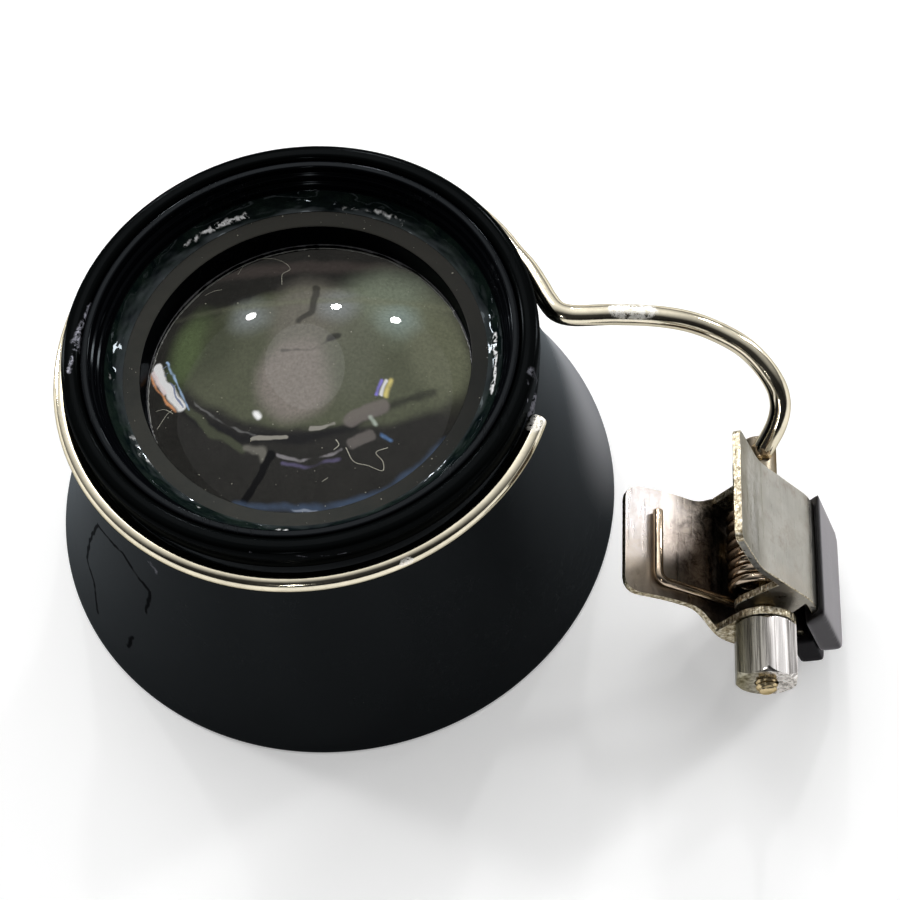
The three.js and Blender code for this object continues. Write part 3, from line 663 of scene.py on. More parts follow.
lens_fibres = [   # pixels, thickness
    ([(346, 448), (354, 462), (368, 466), (383, 471), (383, 462), (376, 453), (388, 448)], 0.045),
    ([(157, 430), (168, 414), (172, 411)], 0.04),
    ([(156, 412), (164, 410), (173, 414)], 0.04),
    ([(252, 260), (272, 259), (286, 264), (290, 270), (283, 274), (282, 285)], 0.03),
    ([(238, 275), (246, 264), (258, 258)], 0.03),
    ([(205, 296), (213, 292), (222, 290)], 0.03),
    ([(334, 450), (339, 445), (336, 440)], 0.05),
    ([(322, 482), (328, 478)], 0.03),
]


def black_plastic(name, color, gloss, dusty=0.5, scratched=0.5):
    finish = Finish(name, color, gloss)
    cloud = finish.noise(0.35, 4.0, 0.6)
    scuffs = finish.math("ADD", scratches(finish, 2.2, 25), scratches(finish, 2.8, -52))
    kept = finish.ramp(finish.noise(0.16, 2.0), (0.5, 0.0), (0.62, 1.0))
    scuffs = finish.times(finish.times(scuffs, kept), scratched)
    specks = dust(finish, 1.1, 0.05)
    marks = finish.math("MAXIMUM", finish.times(scuffs, 0.4), specks)
    rough = finish.ramp(cloud, (0.3, gloss * 0.7), (0.7, gloss * 1.7))
    finish.set("Roughness", finish.math("ADD", rough, finish.times(marks, 0.25)))
    tone = finish.mix(finish.times(marks, 0.08 * dusty), color, (0.55, 0.57, 0.6))
    finish.set("Base Color", tone)
    waviness = finish.bump(finish.noise(0.22, 2.0), 0.02)
    finish.bump(scuffs, -0.004, waviness)
    return finish


def skirt_finish():
    """The cup's plastic, with a painted sheen at the skirt's right edge, painted dark reflection loops on the
    skirt, and painted highlights and scuffs on the rim.
    """
    finish = black_plastic("cup_finish", (0.0012, 0.0018, 0.0022), 0.13)
    rim = finish.ranged(finish.along("Z"), groove_low, groove_high)
    tone = finish.mix(rim, finish.source("Base Color"), (0.001, 0.0013, 0.0013))
    # painted sheen: a pale smear for the reflection at the skirt's right edge
    tone = finish.paint(tone, finish.line("eyecup", skirt_painted_sheen, 9.0, 0.95), (0.22, 0.22, 0.23), 0.85)
    finish.wobble(1.2, 0.5)
    dull = finish.times(rim, 0.75)
    # painted dark reflection loops, where the skirt also mirrors less
    for loop in dark_reflection_loops:
        dark_loop = finish.line("eyecup", loop, 0.3)
        tone = finish.paint(tone, dark_loop, (0.0, 0.0, 0.0), 0.85)
        dull = finish.math("MAXIMUM", dull, finish.times(dark_loop, 0.8))
    finish.glaze(0.14, 0.002, dull=dull)
    finish.wobble(1.5, 0.12)
    broken = finish.ramp(finish.noise(3.5, 3.0, 0.7), (0.42, 0.0), (0.56, 1.0))
    # painted highlights and sheen on the rim, with scuffs
    for pixels, width, strength in rim_glints_and_scuffs:
        mask = finish.times(finish.line("eyecup", pixels, width, 0.6), broken)
        tone = finish.paint(tone, mask, (0.5, 0.5, 0.58), strength)
    finish.set("Base Color", tone)
    return finish.material


def ring_finish():
    finish = Finish("retaining_ring_finish", (0.05, 0.046, 0.04), 0.42, Specular_IOR_Level=0.05)
    cloud = finish.noise(0.5, 5.0, 0.65)
    specks = dust(finish, 1.4, 0.08)
    tone = finish.ramp(cloud, (0.3, (0.022, 0.024, 0.0215)), (0.7, (0.036, 0.036, 0.031)))
    # painted light and shade on the ring's face: its right side darker, its back lighter
    painted_shade_right = finish.ranged(finish.along("X"), loupe_centre.x, loupe_centre.x + ring_radius)
    painted_light_back = finish.ranged(finish.along("Y"), 0, ring_radius)
    tone = finish.paint(tone, painted_shade_right, (0.004, 0.004, 0.004), 0.65)
    tone = finish.paint(tone, painted_light_back, (0.07, 0.065, 0.055), 0.45)
    finish.set("Base Color", finish.paint(tone, specks, (0.5, 0.52, 0.5), 0.5))
    finish.set("Roughness", finish.ramp(cloud, (0.35, 0.34), (0.7, 0.5)))
    finish.bump(finish.noise(6.0, 3.0), 0.006)
    return finish.material


def glue_finish():
    glint_lift = 0.25   # how far above the ring's face the glints lie on the bead
    finish = Finish("glue_finish", (0.004, 0.009, 0.008), 0.07, Specular_IOR_Level=0.14)
    shades = (0.35, (0.001, 0.003, 0.004)), (0.7, (0.009, 0.016, 0.012))
    tone = finish.ramp(finish.noise(0.7, 4.0, 0.7), *shades)
    finish.wobble(2.0, 0.5)
    jagged = finish.ramp(finish.noise(1.6, 3.0, 0.7), (0.44, 0.0), (0.49, 1.0))
    for pixels, width, strength in glue_glints:
        mask = finish.stroke([level_with(pixel, ring_high.z + glint_lift) for pixel in pixels], width, 0.5)
        tone = finish.paint(tone, finish.times(mask, jagged), (1.0, 1.0, 1.0), strength)
    finish.set("Base Color", tone)
    finish.bump(finish.noise(0.7, 1.0, 0.5), 0.05)
    finish.glaze(0.5, 0.01)
    return finish.material


def nickel(name, warm, roughness, streak=None, tarnish=0.0):
    """Nickel plate: streak is the scale along which it was drawn or ground."""
    tarnish_color = (0.2, 0.14, 0.1)
    finish = Finish(name, warm, roughness, 1.0, Specular_Tint=(0.3, 0.28, 0.22, 1))
    cloud = finish.noise(0.5, 5.0, 0.62)
    lines = finish.noise(3.0, 3.0, 0.6, finish.mapped(streak or (1, 1, 1)))
    shade = finish.ramp(cloud, (0.35, tuple(c * 0.8 for c in warm)), (0.65, warm))
    clean_below, full_above = 0.62 - tarnish * 0.3, 0.78 - tarnish * 0.2
    stain = finish.ramp(finish.noise(0.9, 6.0, 0.7), (clean_below, 0.0), (full_above, 1.0))
    stain = finish.times(stain, min(1.0, tarnish * 1.2))
    finish.set("Base Color", finish.mix(stain, shade, tarnish_color))
    rough = finish.ramp(lines, (0.3, roughness * 0.75), (0.7, roughness * 1.5))
    finish.set("Roughness", finish.math("ADD", rough, finish.times(stain, 0.2)))
    finish.bump(lines, 0.012 if streak else 0.004)
    return finish


# Loupe body: sizes that the frame doesn't give

rim_wall = 1.08
neck_height = 15.95
neck_inset = 0.15
skirt_bow_spread = 1.5
skirt_bow_height = 7.4
cup_wall = 1.6
groove_low = 16.05
groove_high = 17.75
groove_depth = 0.25
cup_floor_height = 11.0
cup_floor_thickness = 1.2
cup_floor_radius = 10.6
cell_clearance = 0.06
cell_mouth_radius = 12.5
window_radius = 9.95
window_height = 16.6
lens_front_curve = 26.0
lens_back_curve = 40.0
ring_clearance = 0.3
ring_wire = 1.1
arm_wire = 1.28
wire_height = 16.9

rim_radius = cell_radius + cell_clearance + rim_wall
neck_radius = rim_radius - neck_inset
wire_ring_radius = neck_radius - groove_depth + ring_clearance + ring_wire / 2


def skirt_point(share, inset):
    rest = 1 - share
    bow = neck_radius + skirt_bow_spread
    radius = rest * rest * neck_radius + 2 * rest * share * bow + share * share * eye_radius
    height = rest * rest * neck_height + 2 * rest * share * skirt_bow_height
    return radius - inset, height


def skirt(inset, top):
    steps = 72
    foot = 0.6
    points = [skirt_point(i / steps, inset) for i in range(steps + 1)]
    return [(radius, height, 0) for radius, height in points if foot < height < top]


def make_eyecup(finish):
    bore = cell_radius + cell_clearance
    cavity_top = cup_floor_height - cup_floor_thickness
    corner_room = 0.3
    outer = skirt(0, neck_height - corner_room)
    inner = skirt(cup_wall, cavity_top - corner_room)[::-1]
    corners = [
        (bore, body_height, 0.38),
        (rim_radius, body_height, 0.5),
        (rim_radius, groove_high + 0.15, 0.12),
        (neck_radius - groove_depth, groove_high, 0.08),
        (neck_radius - groove_depth, groove_low, 0.08),
        (neck_radius, neck_height, 0.12),
        *outer,
        (eye_radius, 0.0, 0.5),
        (eye_radius - cup_wall, 0.0, 0.5),
        *inner,
        (skirt_point(0.35, cup_wall)[0], cavity_top, 0.4),
        (cup_floor_radius, cavity_top, 0.2),
        (cup_floor_radius, cup_floor_height, 0.1),
        (bore, cup_floor_height, 0),
    ]
    cup = turned("eyecup_shell", rounded(corners), loupe_centre)
    settle(cup, "loupe", "cup_plastic", finish, "eyecup")


def make_lens_cell(finish):
    thread_count = 4
    thread_depth = 0.09
    thread_sharpness = 3
    wall_steps = 48
    seat_top = cell_low.z + 0.8
    seat_radius = cup_floor_radius - 0.2
    wall_top = cell_high.z - 0.2
    foot_radius = ring_radius + cell_clearance
    wall = []
    for i in range(1, wall_steps):
        share = i / wall_steps
        radius = cell_mouth_radius + (foot_radius - cell_mouth_radius) * share
        height = wall_top + (ring_high.z - wall_top) * share
        wave = (0.5 - 0.5 * math.cos(full_turn * thread_count * share)) ** thread_sharpness
        wall.append((radius + thread_depth * (wave - 0.4), height, 0))
    corners = [
        (cell_radius, cell_low.z, 0.1),
        (cell_radius, cell_high.z, 0.16),
        (cell_mouth_radius - 0.02, cell_high.z, 0.14),
        *wall,
        (foot_radius, ring_high.z, 0),
        (foot_radius, seat_top, 0),
        (seat_radius, seat_top, 0.1),
        (seat_radius, cell_low.z, 0.1),
    ]
    cell = turned("lens_cell_shell", rounded(corners), loupe_centre, sharp=60)
    settle(cell, "loupe", "cell_plastic", finish, "lens_cell")


def make_retaining_ring(finish, wall_finish):
    corners = [
        (ring_radius, ring_low.z, 0),
        (ring_radius, ring_high.z, 0.1),
        (window_radius, window_height, 0.14),
        (window_radius, ring_low.z, 0.06),
    ]
    ring = turned("retaining_ring_face", rounded(corners), loupe_centre)
    steep = 0.6
    for polygon in ring.data.polygons:
        polygon.material_index = 0 if abs(polygon.normal.z) > steep else 1
    settle(ring, "loupe", "ring_plastic", [finish, wall_finish], "retaining_ring")


def make_glue_line(finish):
    """The uneven shiny fillet of glue between the retaining ring's face and the cell's wall."""
    foot, top = Vector((10.95, ring_high.z - 0.04)), Vector((11.86, ring_high.z + 0.85))
    middle = Vector((11.5, ring_high.z + 0.1))
    behind = Vector((0.12, -0.1))
    outward = Vector((-0.7, 0.7))
    swells = ((0.14, 5, 0), (0.07, 10, 2), (0.03, 18, 7))   # height, scales round and across the bead
    profile = curve(foot, middle, top, 16) + [top + behind, Vector((ring_radius, ring_high.z - 0.2))]

    def lumpy(radius, height, angle):
        place = around(angle)
        swell = sum(size * noise.noise(place * scale + Vector((0, 0, radius * across)))
                    for size, scale, across in swells)
        along = (radius - foot.x) / (top.x - foot.x)
        shift = outward * swell * math.sin(math.pi * min(1.0, max(0.0, along)))
        return radius + shift.x, height + shift.y

    bead = turned("glue_line", profile, loupe_centre, 900, wave=lumpy, sharp=80)
    settle(bead, "loupe", "cell_plastic", finish)


def make_lens_seat_line(name, lift, line_radius, finish):
    """A thin pale line round the retaining ring's wall, just above the lens: a painted highlight of the
    lens's edge, made as geometry.
    """
    line_sides = 8
    proud = 0.04
    height = lens_high.z - sag(lens_front_curve, window_radius) + lift
    profile = []
    for i in range(line_sides):
        angle = full_turn * i / line_sides
        across, up = line_radius * math.cos(angle), line_radius * math.sin(angle)
        profile.append((window_radius - proud + across, height + up))

    def uneven(radius, height_here, angle):
        place = around(angle)
        swell = 0.7 + 0.9 * noise.noise(place * 9) + 0.5 * noise.noise(place * 40)
        return (window_radius + (radius - window_radius) * swell, height + (height_here - height) * swell)

    line = turned(name, profile, loupe_centre, 720, wave=uneven, sharp=80)
    settle(line, "loupe", "lens_glass", finish)


def sag(curve, radius):
    return curve - math.sqrt(curve * curve - radius * radius)


def make_lens(finish):
    dome_steps = 40
    radii = [lens_radius * i / dome_steps for i in range(dome_steps + 1)]
    profile = [(radius, lens_low.z + sag(lens_back_curve, radius)) for radius in radii]
    profile += [(radius, lens_high.z - sag(lens_front_curve, radius)) for radius in reversed(radii)]
    lens = turned("lens_glass", profile, loupe_centre)
    settle(lens, "loupe", "lens_glass", finish, "lens")


def lens_finish():
    """Clear glass, tinted with painted reflections, glints and colour fringes in soft patches and streaks."""
    tint_gain = 0.7   # the tints are written for a dim table, and the glass shows a white one
    coating_share = 0.3   # what the coated glass mirrors, of what bare glass does
    front_share = 0.6   # of the lens's height: only the front above it is tinted
    finish = Finish("lens_finish", (1.0, 1.0, 1.0), 0.0)
    finish.wobble(0.5, 0.7)
    tone = finish.mix(finish.noise(0.5, 4.0, 0.6), (0.022, 0.022, 0.02), (0.042, 0.04, 0.037))
    # painted reflections and glints in the glass's tint
    tone = spotted(finish, tone, lens_painted_reflections, "lens")
    speckled = finish.ramp(finish.noise(5.0, 3.0, 0.7), (0.3, 0.82), (0.7, 1.18))
    tone = finish.vector("MULTIPLY", tone, speckled)
    finish.wobble(2.5, 0.1)
    for pixels, width, softness, color, strength in lens_painted_reflection_streaks:
        tone = finish.paint(tone, finish.line("lens", pixels, width, softness), color, strength)
    tone = finish.paint(tone, dust(finish, 0.8, 0.05), (0.5, 0.5, 0.47), 0.6)
    front_height = lens_low.z + (lens_high.z - lens_low.z) * front_share
    in_front = finish.math("GREATER_THAN", finish.along("Z"), front_height)
    tone = finish.mix(in_front, (1.0, 1.0, 1.0), finish.vector("SCALE", tone, scale=tint_gain))
    clear = finish.add("BsdfRefraction", {"Color": tone, "Roughness": 0.0, "IOR": glass_index})
    mirror = finish.add("BsdfAnisotropic", {"Roughness": 0.0})
    grazing = finish.add("Fresnel", {"IOR": glass_index}).outputs["Fac"]
    glass = finish.blended(finish.times(grazing, coating_share), clear, mirror)
    passing = finish.add("BsdfTransparent", {"Color": (0.86, 0.88, 0.82, 1)})
    rays = finish.add("LightPath").outputs
    indirect = finish.math("MAXIMUM", rays["Is Shadow Ray"], rays["Is Diffuse Ray"])
    finish.surface(finish.blended(indirect, glass, passing))
    return finish.material


def spotted(finish, tone, patches, node, broken=None):
    """The tone with soft patches on it, at pixels of the photograph that show a CAD node."""
    for pixel, width, height, turn, softness, color, strength in patches:
        mask = finish.spot(landing(pixel, node), width, height, turn, softness)
        if broken is not None:
            mask = finish.times(mask, broken)
        tone = finish.paint(tone, mask, color, strength)
    return tone


def wire_finish():
    """The nickel-plated wire, with the bare rough patch of its arm and its cut end."""
    finish = nickel("wire_finish", (0.84, 0.77, 0.6), 0.09, None, 0.15)
    tone, rough = finish.source("Base Color"), finish.source("Roughness")
    finish.wobble(2.0, 0.25)
    broken = finish.ramp(finish.noise(3.5, 5.0, 0.85), (0.4, 0.1), (0.52, 1.0))
    for pixels, width in wire_patches:
        mask = finish.times(finish.line("clip_wire", pixels, width, 0.3), broken)
        tone = finish.paint(tone, mask, (1.0, 0.98, 0.93))
        rough = finish.math("MAXIMUM", rough, finish.times(mask, 0.6))
    finish.set("Base Color", tone)
    finish.set("Roughness", rough)
    return finish.material


def painted_sheet(name, warm, patches, node, mottle):
    """Satin sheet metal with painted highlights, dark reflections and shade in patches, and tarnished
    patches.
    """
    finish = nickel(name, warm, 0.3, (1, 0.1, 1), 0.35)
    tone = finish.source("Base Color")
    finish.wobble(0.7, mottle)
    grain = finish.ramp(finish.noise(2.2, 5.0, 0.75), (0.38, 0.35), (0.62, 1.0))
    # the patches: painted highlights, dark reflections and shade, and tarnish
    finish.set("Base Color", spotted(finish, tone, patches, node, grain))
    return finish.material


def sheet_edge_finish():
    finish = nickel("sheet_edge_finish", (0.8, 0.74, 0.6), 0.3, (3, 0.3, 3), 0.3)
    stops = (0.4, (0.2, 0.16, 0.1)), (0.54, (0.62, 0.55, 0.4)), (0.66, (0.9, 0.87, 0.8))
    finish.set("Base Color", finish.ramp(finish.noise(5.0, 4.0, 0.7), *stops))
    finish.bump(finish.noise(4.0, 2.0, 0.6, finish.mapped((1, 0.1, 1))), 0.15)
    return finish.material


def nut_finish():
    """Drawn hexagon stock: fine lines along its length, with painted shade on the left and a painted
    highlight on the right.
    """
    finish = nickel("nut_finish", (0.72, 0.68, 0.6), 0.16, (1, 0.04, 1), 0.1)
    lines = finish.ramp(finish.noise(4.0, 4.0, 0.7, finish.mapped((1, 0.02, 1))), (0.4, 0.3), (0.55, 1.0))
    across = finish.ranged(finish.along("X"), nut_low.x, nut_high.x)
    # painted light and shade across the nut: its left faces darker, its right faces lit
    side = finish.ramp(across, (0.12, 0.0), (0.46, 0.5), (0.52, 1.0))
    tone = finish.mix(side, (0.36, 0.34, 0.26), (1.0, 0.96, 0.94))
    finish.set("Base Color", finish.mix(lines, (0.08, 0.07, 0.055), tone))
    return finish.material


def make_fibres(finish):
    """Lint and hairs lying on the glass, laid through places in the photograph."""
    above_glass = Vector((0, 0, 0.04))
    for number, (pixels, thickness) in enumerate(lens_fibres):
        places = [landing(pixel, "lens") + above_glass for pixel in pixels]
        fibre = tube("lens_fibre_%d" % (number + 1), centripetal(places, 0.12), thickness / 2, 8, 1)
        settle(fibre, "loupe", "lens_glass", finish)


def make_specks(finish):
    """Dust on the lens and its ring, many small grains in one mesh."""
    ring_grains, lens_grains = 60, 90
    edge_share = 0.94   # how far out on the lens the dust lies
    edge_room = 0.2
    least_size, size_spread, size_power = 0.018, 0.05, 4
    sunk_share = 0.4
    ring_rise = (ring_high.z - window_height) / (ring_radius - window_radius)
    points, faces = [], []
    for i in range(ring_grains + lens_grains):
        angle = random.uniform(0, full_turn)
        if i < lens_grains:
            radius = window_radius * edge_share * math.sqrt(random.random())
            height = lens_high.z - sag(lens_front_curve, radius)
        else:
            radius = random.uniform(window_radius + edge_room, ring_radius)
            height = window_height + ring_rise * (radius - window_radius)
        size = least_size + size_spread * random.random() ** size_power
        height += size * sunk_share
        middle = loupe_centre + around(angle, radius, height)
        first = len(points)
        for axis in range(3):
            for sign in (-1, 1):
                tip = Vector((0, 0, 0))
                tip[axis] = sign * size * random.uniform(0.6, 1.3)
                points.append(middle + tip)
        faces += [(first + x, first + y, first + z) for x in (0, 1) for y in (2, 3) for z in (4, 5)]
    grains = mesh_object("lens_dust", points, faces, 180)
    settle(grains, "loupe", "lens_glass", finish)


# Wire ring and arm, the same route as the solid's

ring_free_end = -16.0
ring_leave = 36.0
arm_lap = 0.9
arm_route_shares = [
    (-0.11, 0.357, 0.0),
    (-0.053, 0.284, 0.0),
    (-0.014, 0.232, 0.0),
    (0.03, 0.191, 0.002),
    (0.085, 0.18, 0.02),
    (0.303, 0.19, 0.05),
    (0.498, 0.194, 0.09),
    (0.649, 0.198, 0.18),
    (0.773, 0.189, 0.28),
    (0.9, 0.157, 0.37),
    (0.987, 0.119, 0.47),
    (1.045, 0.08, 0.56),
    (1.078, 0.048, 0.65),
    (1.088, 0.01, 0.74),
    (1.07, -0.031, 0.84),
    (1.039, -0.062, 0.93),
    (1.012, -0.085, 1.0),
]


def wire_route():
    barrel_radius = (barrel_high.x - barrel_low.x) / 2
    run = axle_from_loupe - wire_ring_radius
    drop = wire_height - axle_centre.z - barrel_radius
    ring_step = 3.0   # degrees
    route_step = 0.25
    last = ring_leave - 360 - arm_lap / wire_ring_radius / degree
    count = round((ring_free_end - last) / ring_step)
    turns = [ring_free_end + (last - ring_free_end) * i / count for i in range(count + 1)]
    points = [loupe_centre + around(turn * degree, wire_ring_radius, wire_height) for turn in turns]
    for out, across, down in arm_route_shares:
        points.append(loupe_centre + Vector((
            wire_ring_radius + out * run, across * eye_radius, wire_height - down * drop)))
    return centripetal(points, route_step)


def wire_radius(share):
    """The wire swells where the ring becomes the arm."""
    ring_share = 0.765
    swell_share = 0.03
    along = min(1.0, max(0.0, (share - ring_share) / swell_share))
    return (ring_wire + (arm_wire - ring_wire) * along) / 2


def make_wire(finish):
    wire = tube("sprung_wire", wire_route(), wire_radius, 32)
    settle(wire, "arm", "nickel_wire", finish, "clip_wire")


def make_solder(finish):
    """Uneven solder round the arm's end, lapping the barrel."""
    low, high = node_box("wire_solder")
    size_share = 0.85   # of the solid, so that the lumps stay within it
    coarse_lump, fine_lump = 0.16, 0.07
    coarse_scale, fine_scale = 1.9, 5
    radius = (high.z - low.z) / 2 * size_share
    middle = wire_route()[-1]
    rows, sides = 24, 40
    points = []
    for i in range(rows + 1):
        tilt = math.pi * i / rows
        for k in range(sides):
            turn = full_turn * k / sides
            out = Vector((math.sin(tilt) * math.cos(turn), math.sin(tilt) * math.sin(turn), math.cos(tilt)))
            lump = coarse_lump * noise.noise(out * coarse_scale) + fine_lump * noise.noise(out * fine_scale)
            points.append(middle + out * radius * (1 + lump))
    blob = mesh_object("solder_blob", points, ring_faces(rows + 1, sides), 80)
    settle(blob, "arm", "solder", finish, "wire_solder")


def make_barrel(finish):
    radius = (barrel_high.x - barrel_low.x) / 2
    past_solder = 0.6
    far = barrel_high.y + past_solder
    corners = [
        (0, barrel_low.y, 0),
        (radius, barrel_low.y, 0.14),
        (radius, far, 0.2),
        (0, far, 0),
    ]
    barrel = turned("axle_stub", rounded(corners), axle_centre, 96, along_y=True)
    settle(barrel, "arm", "barrel_metal", finish, "axle_barrel")


def make_screw(finish):
    """The axle: plain in the middle, with a real thread over the end that takes the nut."""
    radius = (rod_high.x - rod_low.x) / 2
    thread_pitch = 0.3
    thread_depth = 0.11
    thread_length = 0.3   # past the nut
    tip_taper = 0.22
    rings_per_pitch = 8
    sides = 48
    length = rod_high.y - rod_low.y
    count = round(length / thread_pitch * rings_per_pitch)
    points = []
    for i in range(count + 1):
        y = rod_low.y + length * i / count
        for k in range(sides):
            angle = full_turn * k / sides
            depth = max(0.0, tip_taper - (y - rod_low.y))
            if y < nut_high.y + thread_length:
                phase = (y / thread_pitch + k / sides) % 1.0
                depth += thread_depth * abs(2 * phase - 1)
            size = radius - depth
            points.append(axle_centre + across_axle(angle, size, y))
    faces = ring_faces(count + 1, sides) + end_faces(count + 1, sides)
    screw = mesh_object("threaded_axle", points, faces, 50)
    settle(screw, "arm", "screw_brass", finish, "axle_screw")


# Torsion spring: close-wound, with the legs of the solid's route

spring_wire = 0.6
spring_radius = 1.85
spring_pitch = 0.64
spring_far = -5.55
spring_whole_turns = 8
spring_leg_bend = 0.7
leg_touch = 0.03
sheet = 0.45
face_tilt = 53.9
face_offset = 2.695
face_above_axle = 4.85
tab_tilt = 71.5
front_leg_along_tab = 1.9
front_leg_foot = -9.8
web_middle = 2.985
web_angle = -162.0
back_tab_tilt = 35.0
back_leg_along_tab = 4.6
back_leg_foot = -6.4


def along(origin, tilt, length):
    return origin + across_axle(-tilt * degree, length)


def on_tab(origin, tilt, length, side):
    lift = side * (sheet / 2 + spring_wire / 2 + leg_touch)
    return along(origin, tilt, -length) + across_axle((90 - tilt) * degree, lift)


def bent(points, run, steps=8):
    """A route of straight runs with rounded corners."""
    route = [points[0]]
    for before, corner, after in zip(points, points[1:], points[2:]):
        start = corner.lerp(before, min(0.5, run / (corner - before).length))
        end = corner.lerp(after, min(0.5, run / (corner - after).length))
        route += curve(start, corner, end, steps)
    route.append(points[-1])
    return route


def spring_route():
    steps_per_turn = 48
    start = (90 - face_tilt) * degree
    face_foot = across_axle(start, face_offset)
    front_seat = on_tab(along(face_foot, face_tilt, -face_above_axle), tab_tilt, front_leg_along_tab, -1)
    on_coil = across_axle(start, spring_radius)
    front_knee = along(on_coil, face_tilt, -face_above_axle)
    web_corner = across_axle(web_angle * degree, web_middle)
    back_seat = on_tab(web_corner, back_tab_tilt, back_leg_along_tab, 1)
    end = math.atan2(back_seat.z, back_seat.x) + math.acos(spring_radius / back_seat.length)
    turns = (start - end + full_turn) / full_turn + spring_whole_turns
    spring_near = spring_far - turns * spring_pitch
    near, far = Vector((0, spring_near, 0)), Vector((0, spring_far, 0))
    front_foot, back_foot = Vector((0, front_leg_foot, 0)), Vector((0, back_leg_foot, 0))
    front_leg = [front_seat + front_foot, front_seat + far, front_knee + far, on_coil + far]
    back_leg = [across_axle(end, spring_radius) + near, back_seat + near, back_seat + back_foot]
    coil = []
    steps = round(turns * steps_per_turn)
    for i in range(1, steps):
        share = i / steps
        y = spring_far + (spring_near - spring_far) * share
        coil.append(across_axle(start - turns * full_turn * share, spring_radius, y))
    route = bent(front_leg, spring_leg_bend) + coil + bent(back_leg, spring_leg_bend)
    return [axle_centre + point for point in route]


def make_spring(finish):
    """The spring as one fixed tube: its legs lie on their tabs, and its coil lies between them."""
    spring = tube("wound_spring", spring_route(), spring_wire / 2, 20)
    spring.data.materials.append(finish)
    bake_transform(spring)
    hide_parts("torsion_spring")


# Stage and light

floor_lift = 0.26
far_floor_lift = 0.6   # where the lamps no longer reach
far_floor_from = 450.0
lens_floor_lift = 0.85   # the table as the lens shows it, where the cup keeps the light off it


def make_stage():
    """A pale table that shows as white, and keeps the soft shadow under the loupe."""
    half = 3.0
    mesh = bpy.data.meshes.new("floor")
    corners = [(-half, -half, 0), (half, -half, 0), (half, half, 0), (-half, half, 0)]
    mesh.from_pydata(corners, [], [(0, 1, 2, 3)])
    floor = linked("floor", mesh)
    finish = Finish("floor_finish", (0.9, 0.9, 0.9), 0.6, Specular_IOR_Level=0.0)
    finish.set("Base Color", finish.ramp(finish.noise(0.02, 2.0), (0.3, 0.895), (0.7, 0.905)))
    rays = finish.add("LightPath").outputs
    seen = finish.math("MAXIMUM", rays["Is Camera Ray"], rays["Is Glossy Ray"])
    through_lens = finish.times(rays["Is Transmission Ray"], lens_floor_lift)
    near = finish.fade(finish.vector("LENGTH", finish.places), far_floor_from, 0.7)
    lift = finish.math("SUBTRACT", far_floor_lift, finish.times(near, far_floor_lift - floor_lift))
    finish.set("Emission Color", (1, 1, 1, 1))
    finish.set("Emission Strength", finish.math("MAXIMUM", finish.times(seen, lift), through_lens))
    mesh.materials.append(finish.material)


def make_world():
    """A soft dome, white to the camera, and with a white horizon for metal and glass."""
    dimmest, brightest = (0.05, 0.04), 1.25
    world = bpy.data.worlds.new("dome")
    bpy.context.scene.world = world
    world.use_nodes = True
    sky = Nodes(world.node_tree)
    place = sky.add("SeparateXYZ", {0: sky.add("TexCoord").outputs["Generated"]}).outputs
    height = sky.ranged(place["Z"], 0.1, 1.0, dimmest[0], brightest)
    depth = sky.ranged(place["Y"], -0.5, 0.5, dimmest[1], brightest)
    horizon = sky.ranged(place["Z"], 0.04, 0.16, 1.0, 0.0)
    rays = sky.add("LightPath").outputs
    mirrored_rays = sky.math("MAXIMUM", rays["Is Glossy Ray"], rays["Is Transmission Ray"])
    white = sky.math("MAXIMUM", rays["Is Camera Ray"], sky.times(mirrored_rays, horizon))
    background = sky.tree.nodes["Background"].inputs
    background["Color"].default_value = (1.0, 1.0, 1.0, 1)
    sky.feed(sky.math("MAXIMUM", sky.times(height, depth), white), background["Strength"])


lamp_distance = 0.5
lamp_aim = Vector((0, 0, 0.015))   # above the foot of the loupe's axis, in metres


def lamp(name, towards, radiance, width, height=None, shape="RECTANGLE"):
    """A flat lamp that faces the loupe from a direction, its sides in metres."""
    data = bpy.data.lights.new(name, "AREA")
    data.shape = shape if height else "DISK"
    data.size = width
    data.size_y = height or width
    area = width * (height or width) * (1 if data.shape == "RECTANGLE" else math.pi / 4)
    radiance_to_power = 4
    data.energy = radiance * area * radiance_to_power
    towards = Vector(towards).normalized()
    made = linked(name, data)
    made.location = towards * lamp_distance + loupe_centre * millimetre + lamp_aim
    made.rotation_mode = "QUATERNION"
    made.rotation_quaternion = towards.to_track_quat("Z", "Y")


def mirrored(pixel):
    """The direction that the front of the lens reflects at a pixel of the photograph."""
    start, direction = sight(pixel)
    centre = loupe_centre + Vector((0, 0, lens_high.z - lens_front_curve))
    toward = (centre - start).dot(direction)
    miss = (centre - start).length_squared - toward * toward
    place = start + direction * (toward - math.sqrt(lens_front_curve ** 2 - miss))
    normal = (place - centre).normalized()
    return direction - normal * 2 * direction.dot(normal)


def make_lights():
    for number, pixel in enumerate(lamp_glint_pixels):
        lamp("ceiling_lamp_%d" % (number + 1), mirrored(pixel), 150, 0.022)
    lamp("softbox", mirrored(softbox_pixel), 2, 0.18, 0.27, "ELLIPSE")
    lamp("left_strip", (-0.87, 0.45, 0.22), 30, 0.05, 0.24)
    lamp("right_strip", (0.78, 0.55, 0.3), 25, 0.05, 0.2)
    lamp("front_lamp", (-0.1, -0.87, 0.48), 30, 0.04)


# Assembly

make_stage()
make_world()
make_lights()

cup_plastic = skirt_finish()
cell_gloss = black_plastic("cell_finish", (0.0012, 0.0014, 0.002), 0.09, 0.3, 1.0)
cell_gloss.glaze(0.1, 0.002)
cell_plastic = cell_gloss.material
lint = Finish("lint_finish", (0.6, 0.58, 0.48), 0.7).material
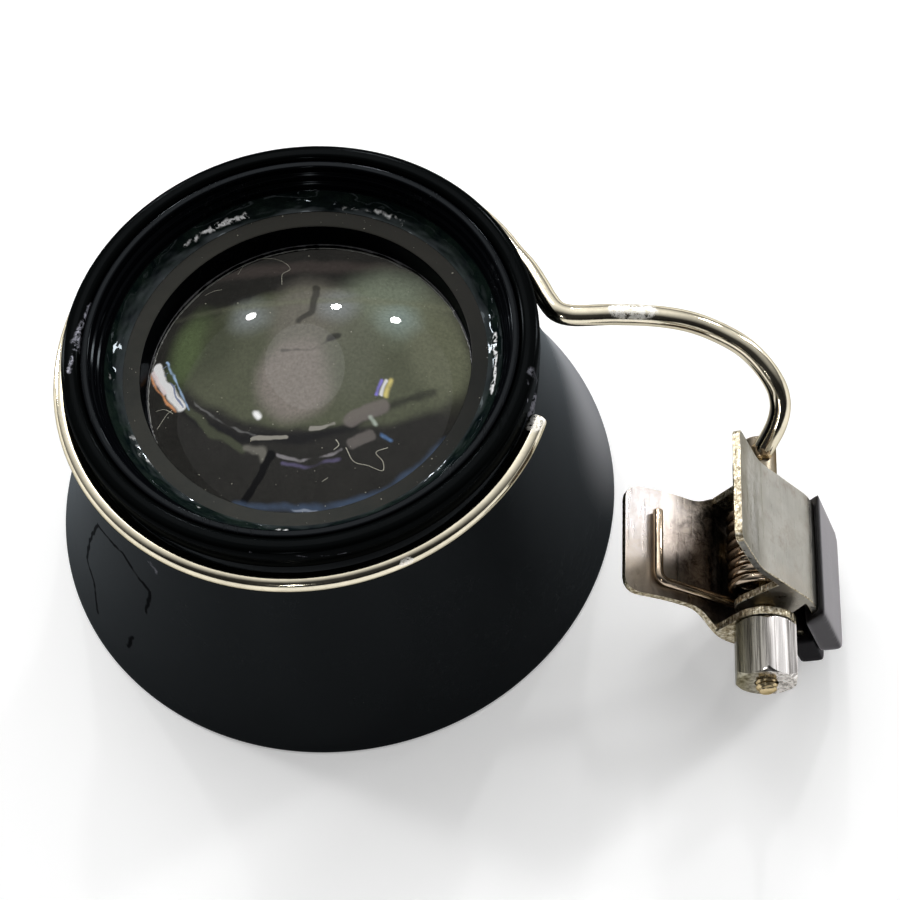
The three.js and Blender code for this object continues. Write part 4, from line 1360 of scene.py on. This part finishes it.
# painted highlight and painted reflection lines of the lens's edge
painted_edge_glint = Finish("seat_glue_finish", (0.3, 0.3, 0.28), 0.25).material
wall_reflection_line = Finish("wall_line_finish", (0.07, 0.07, 0.075), 0.2).material
make_eyecup(cup_plastic)
make_lens_cell(cell_plastic)
make_retaining_ring(ring_finish(), cell_plastic)
make_glue_line(glue_finish())
make_lens(lens_finish())
make_lens_seat_line("lens_seat_line", 0.0, 0.08, painted_edge_glint)
make_lens_seat_line("ring_wall_line", 0.42, 0.07, wall_reflection_line)
make_fibres(lint)
make_specks(lint)

spring_metal = nickel("spring_finish", (0.52, 0.42, 0.32), 0.16, None, 0.4)
spring_metal.bump(spring_metal.noise(3.0, 3.0, 0.6), 0.01)
make_spring(spring_metal.material)
make_wire(wire_finish())
make_solder(nickel("solder_finish", (0.62, 0.47, 0.28), 0.25, None, 0.5).material)
make_barrel(nickel("barrel_finish", (0.26, 0.225, 0.17), 0.3, (1, 0.1, 1), 0.5).material)
make_screw(nickel("brass_finish", (0.7, 0.56, 0.33), 0.25, None, 0.3).material)

sheet_edge = 0.05
edge_metal = sheet_edge_finish()
back_sheet = painted_sheet(
    "back_sheet_finish", (0.34, 0.295, 0.25), back_tab_painted_light_and_tarnish, "back_jaw_plate", 1.5)
front_sheet = painted_sheet(
    "front_sheet_finish", (0.46, 0.45, 0.42), front_plate_painted_light_and_shade, "front_jaw_plate", 0.8)
nut = rounded_copy("nut", "hex_nut", 0.06, 3)
settle(nut, "arm", "nut_nickel", nut_finish(), "hex_nut")
back_plate = rounded_copy("back_plate", "back_jaw_plate", sheet_edge, 3, 1)
settle(back_plate, "clip_back", "sheet_nickel", [back_sheet, edge_metal], "back_jaw_plate")
front_plate = rounded_copy("front_plate", "front_jaw_plate", sheet_edge, 3, 1)
settle(front_plate, "clip_front", "sheet_nickel", [front_sheet, edge_metal], "front_jaw_plate")

rubber_grain = 0.11
rubber_tint = (1.0, 0.97, 1.0)
# one rubber for both pads: the back pad's copy is darker and mirrors less, as painted shade
rubber = black_plastic("pad_finish", (0.006, 0.006, 0.007), 0.4, 1.0)
rubber.glaze(0.7, 0.0, rubber_tint)
shaded_rubber = black_plastic("shaded_back_pad_finish", (0.004, 0.004, 0.005), 0.4, 1.0)
shaded_rubber.glaze(0.15, 0.0, rubber_tint)
front_pad = softened_copy("front_pad", "front_jaw_pad", rubber_grain, 34)
settle(front_pad, "clip_front", "pad_rubber", rubber.material, "front_jaw_pad")
back_pad = softened_copy("back_pad", "back_jaw_pad", rubber_grain, 12)
settle(back_pad, "clip_back", "pad_rubber", shaded_rubber.material, "back_jaw_pad")
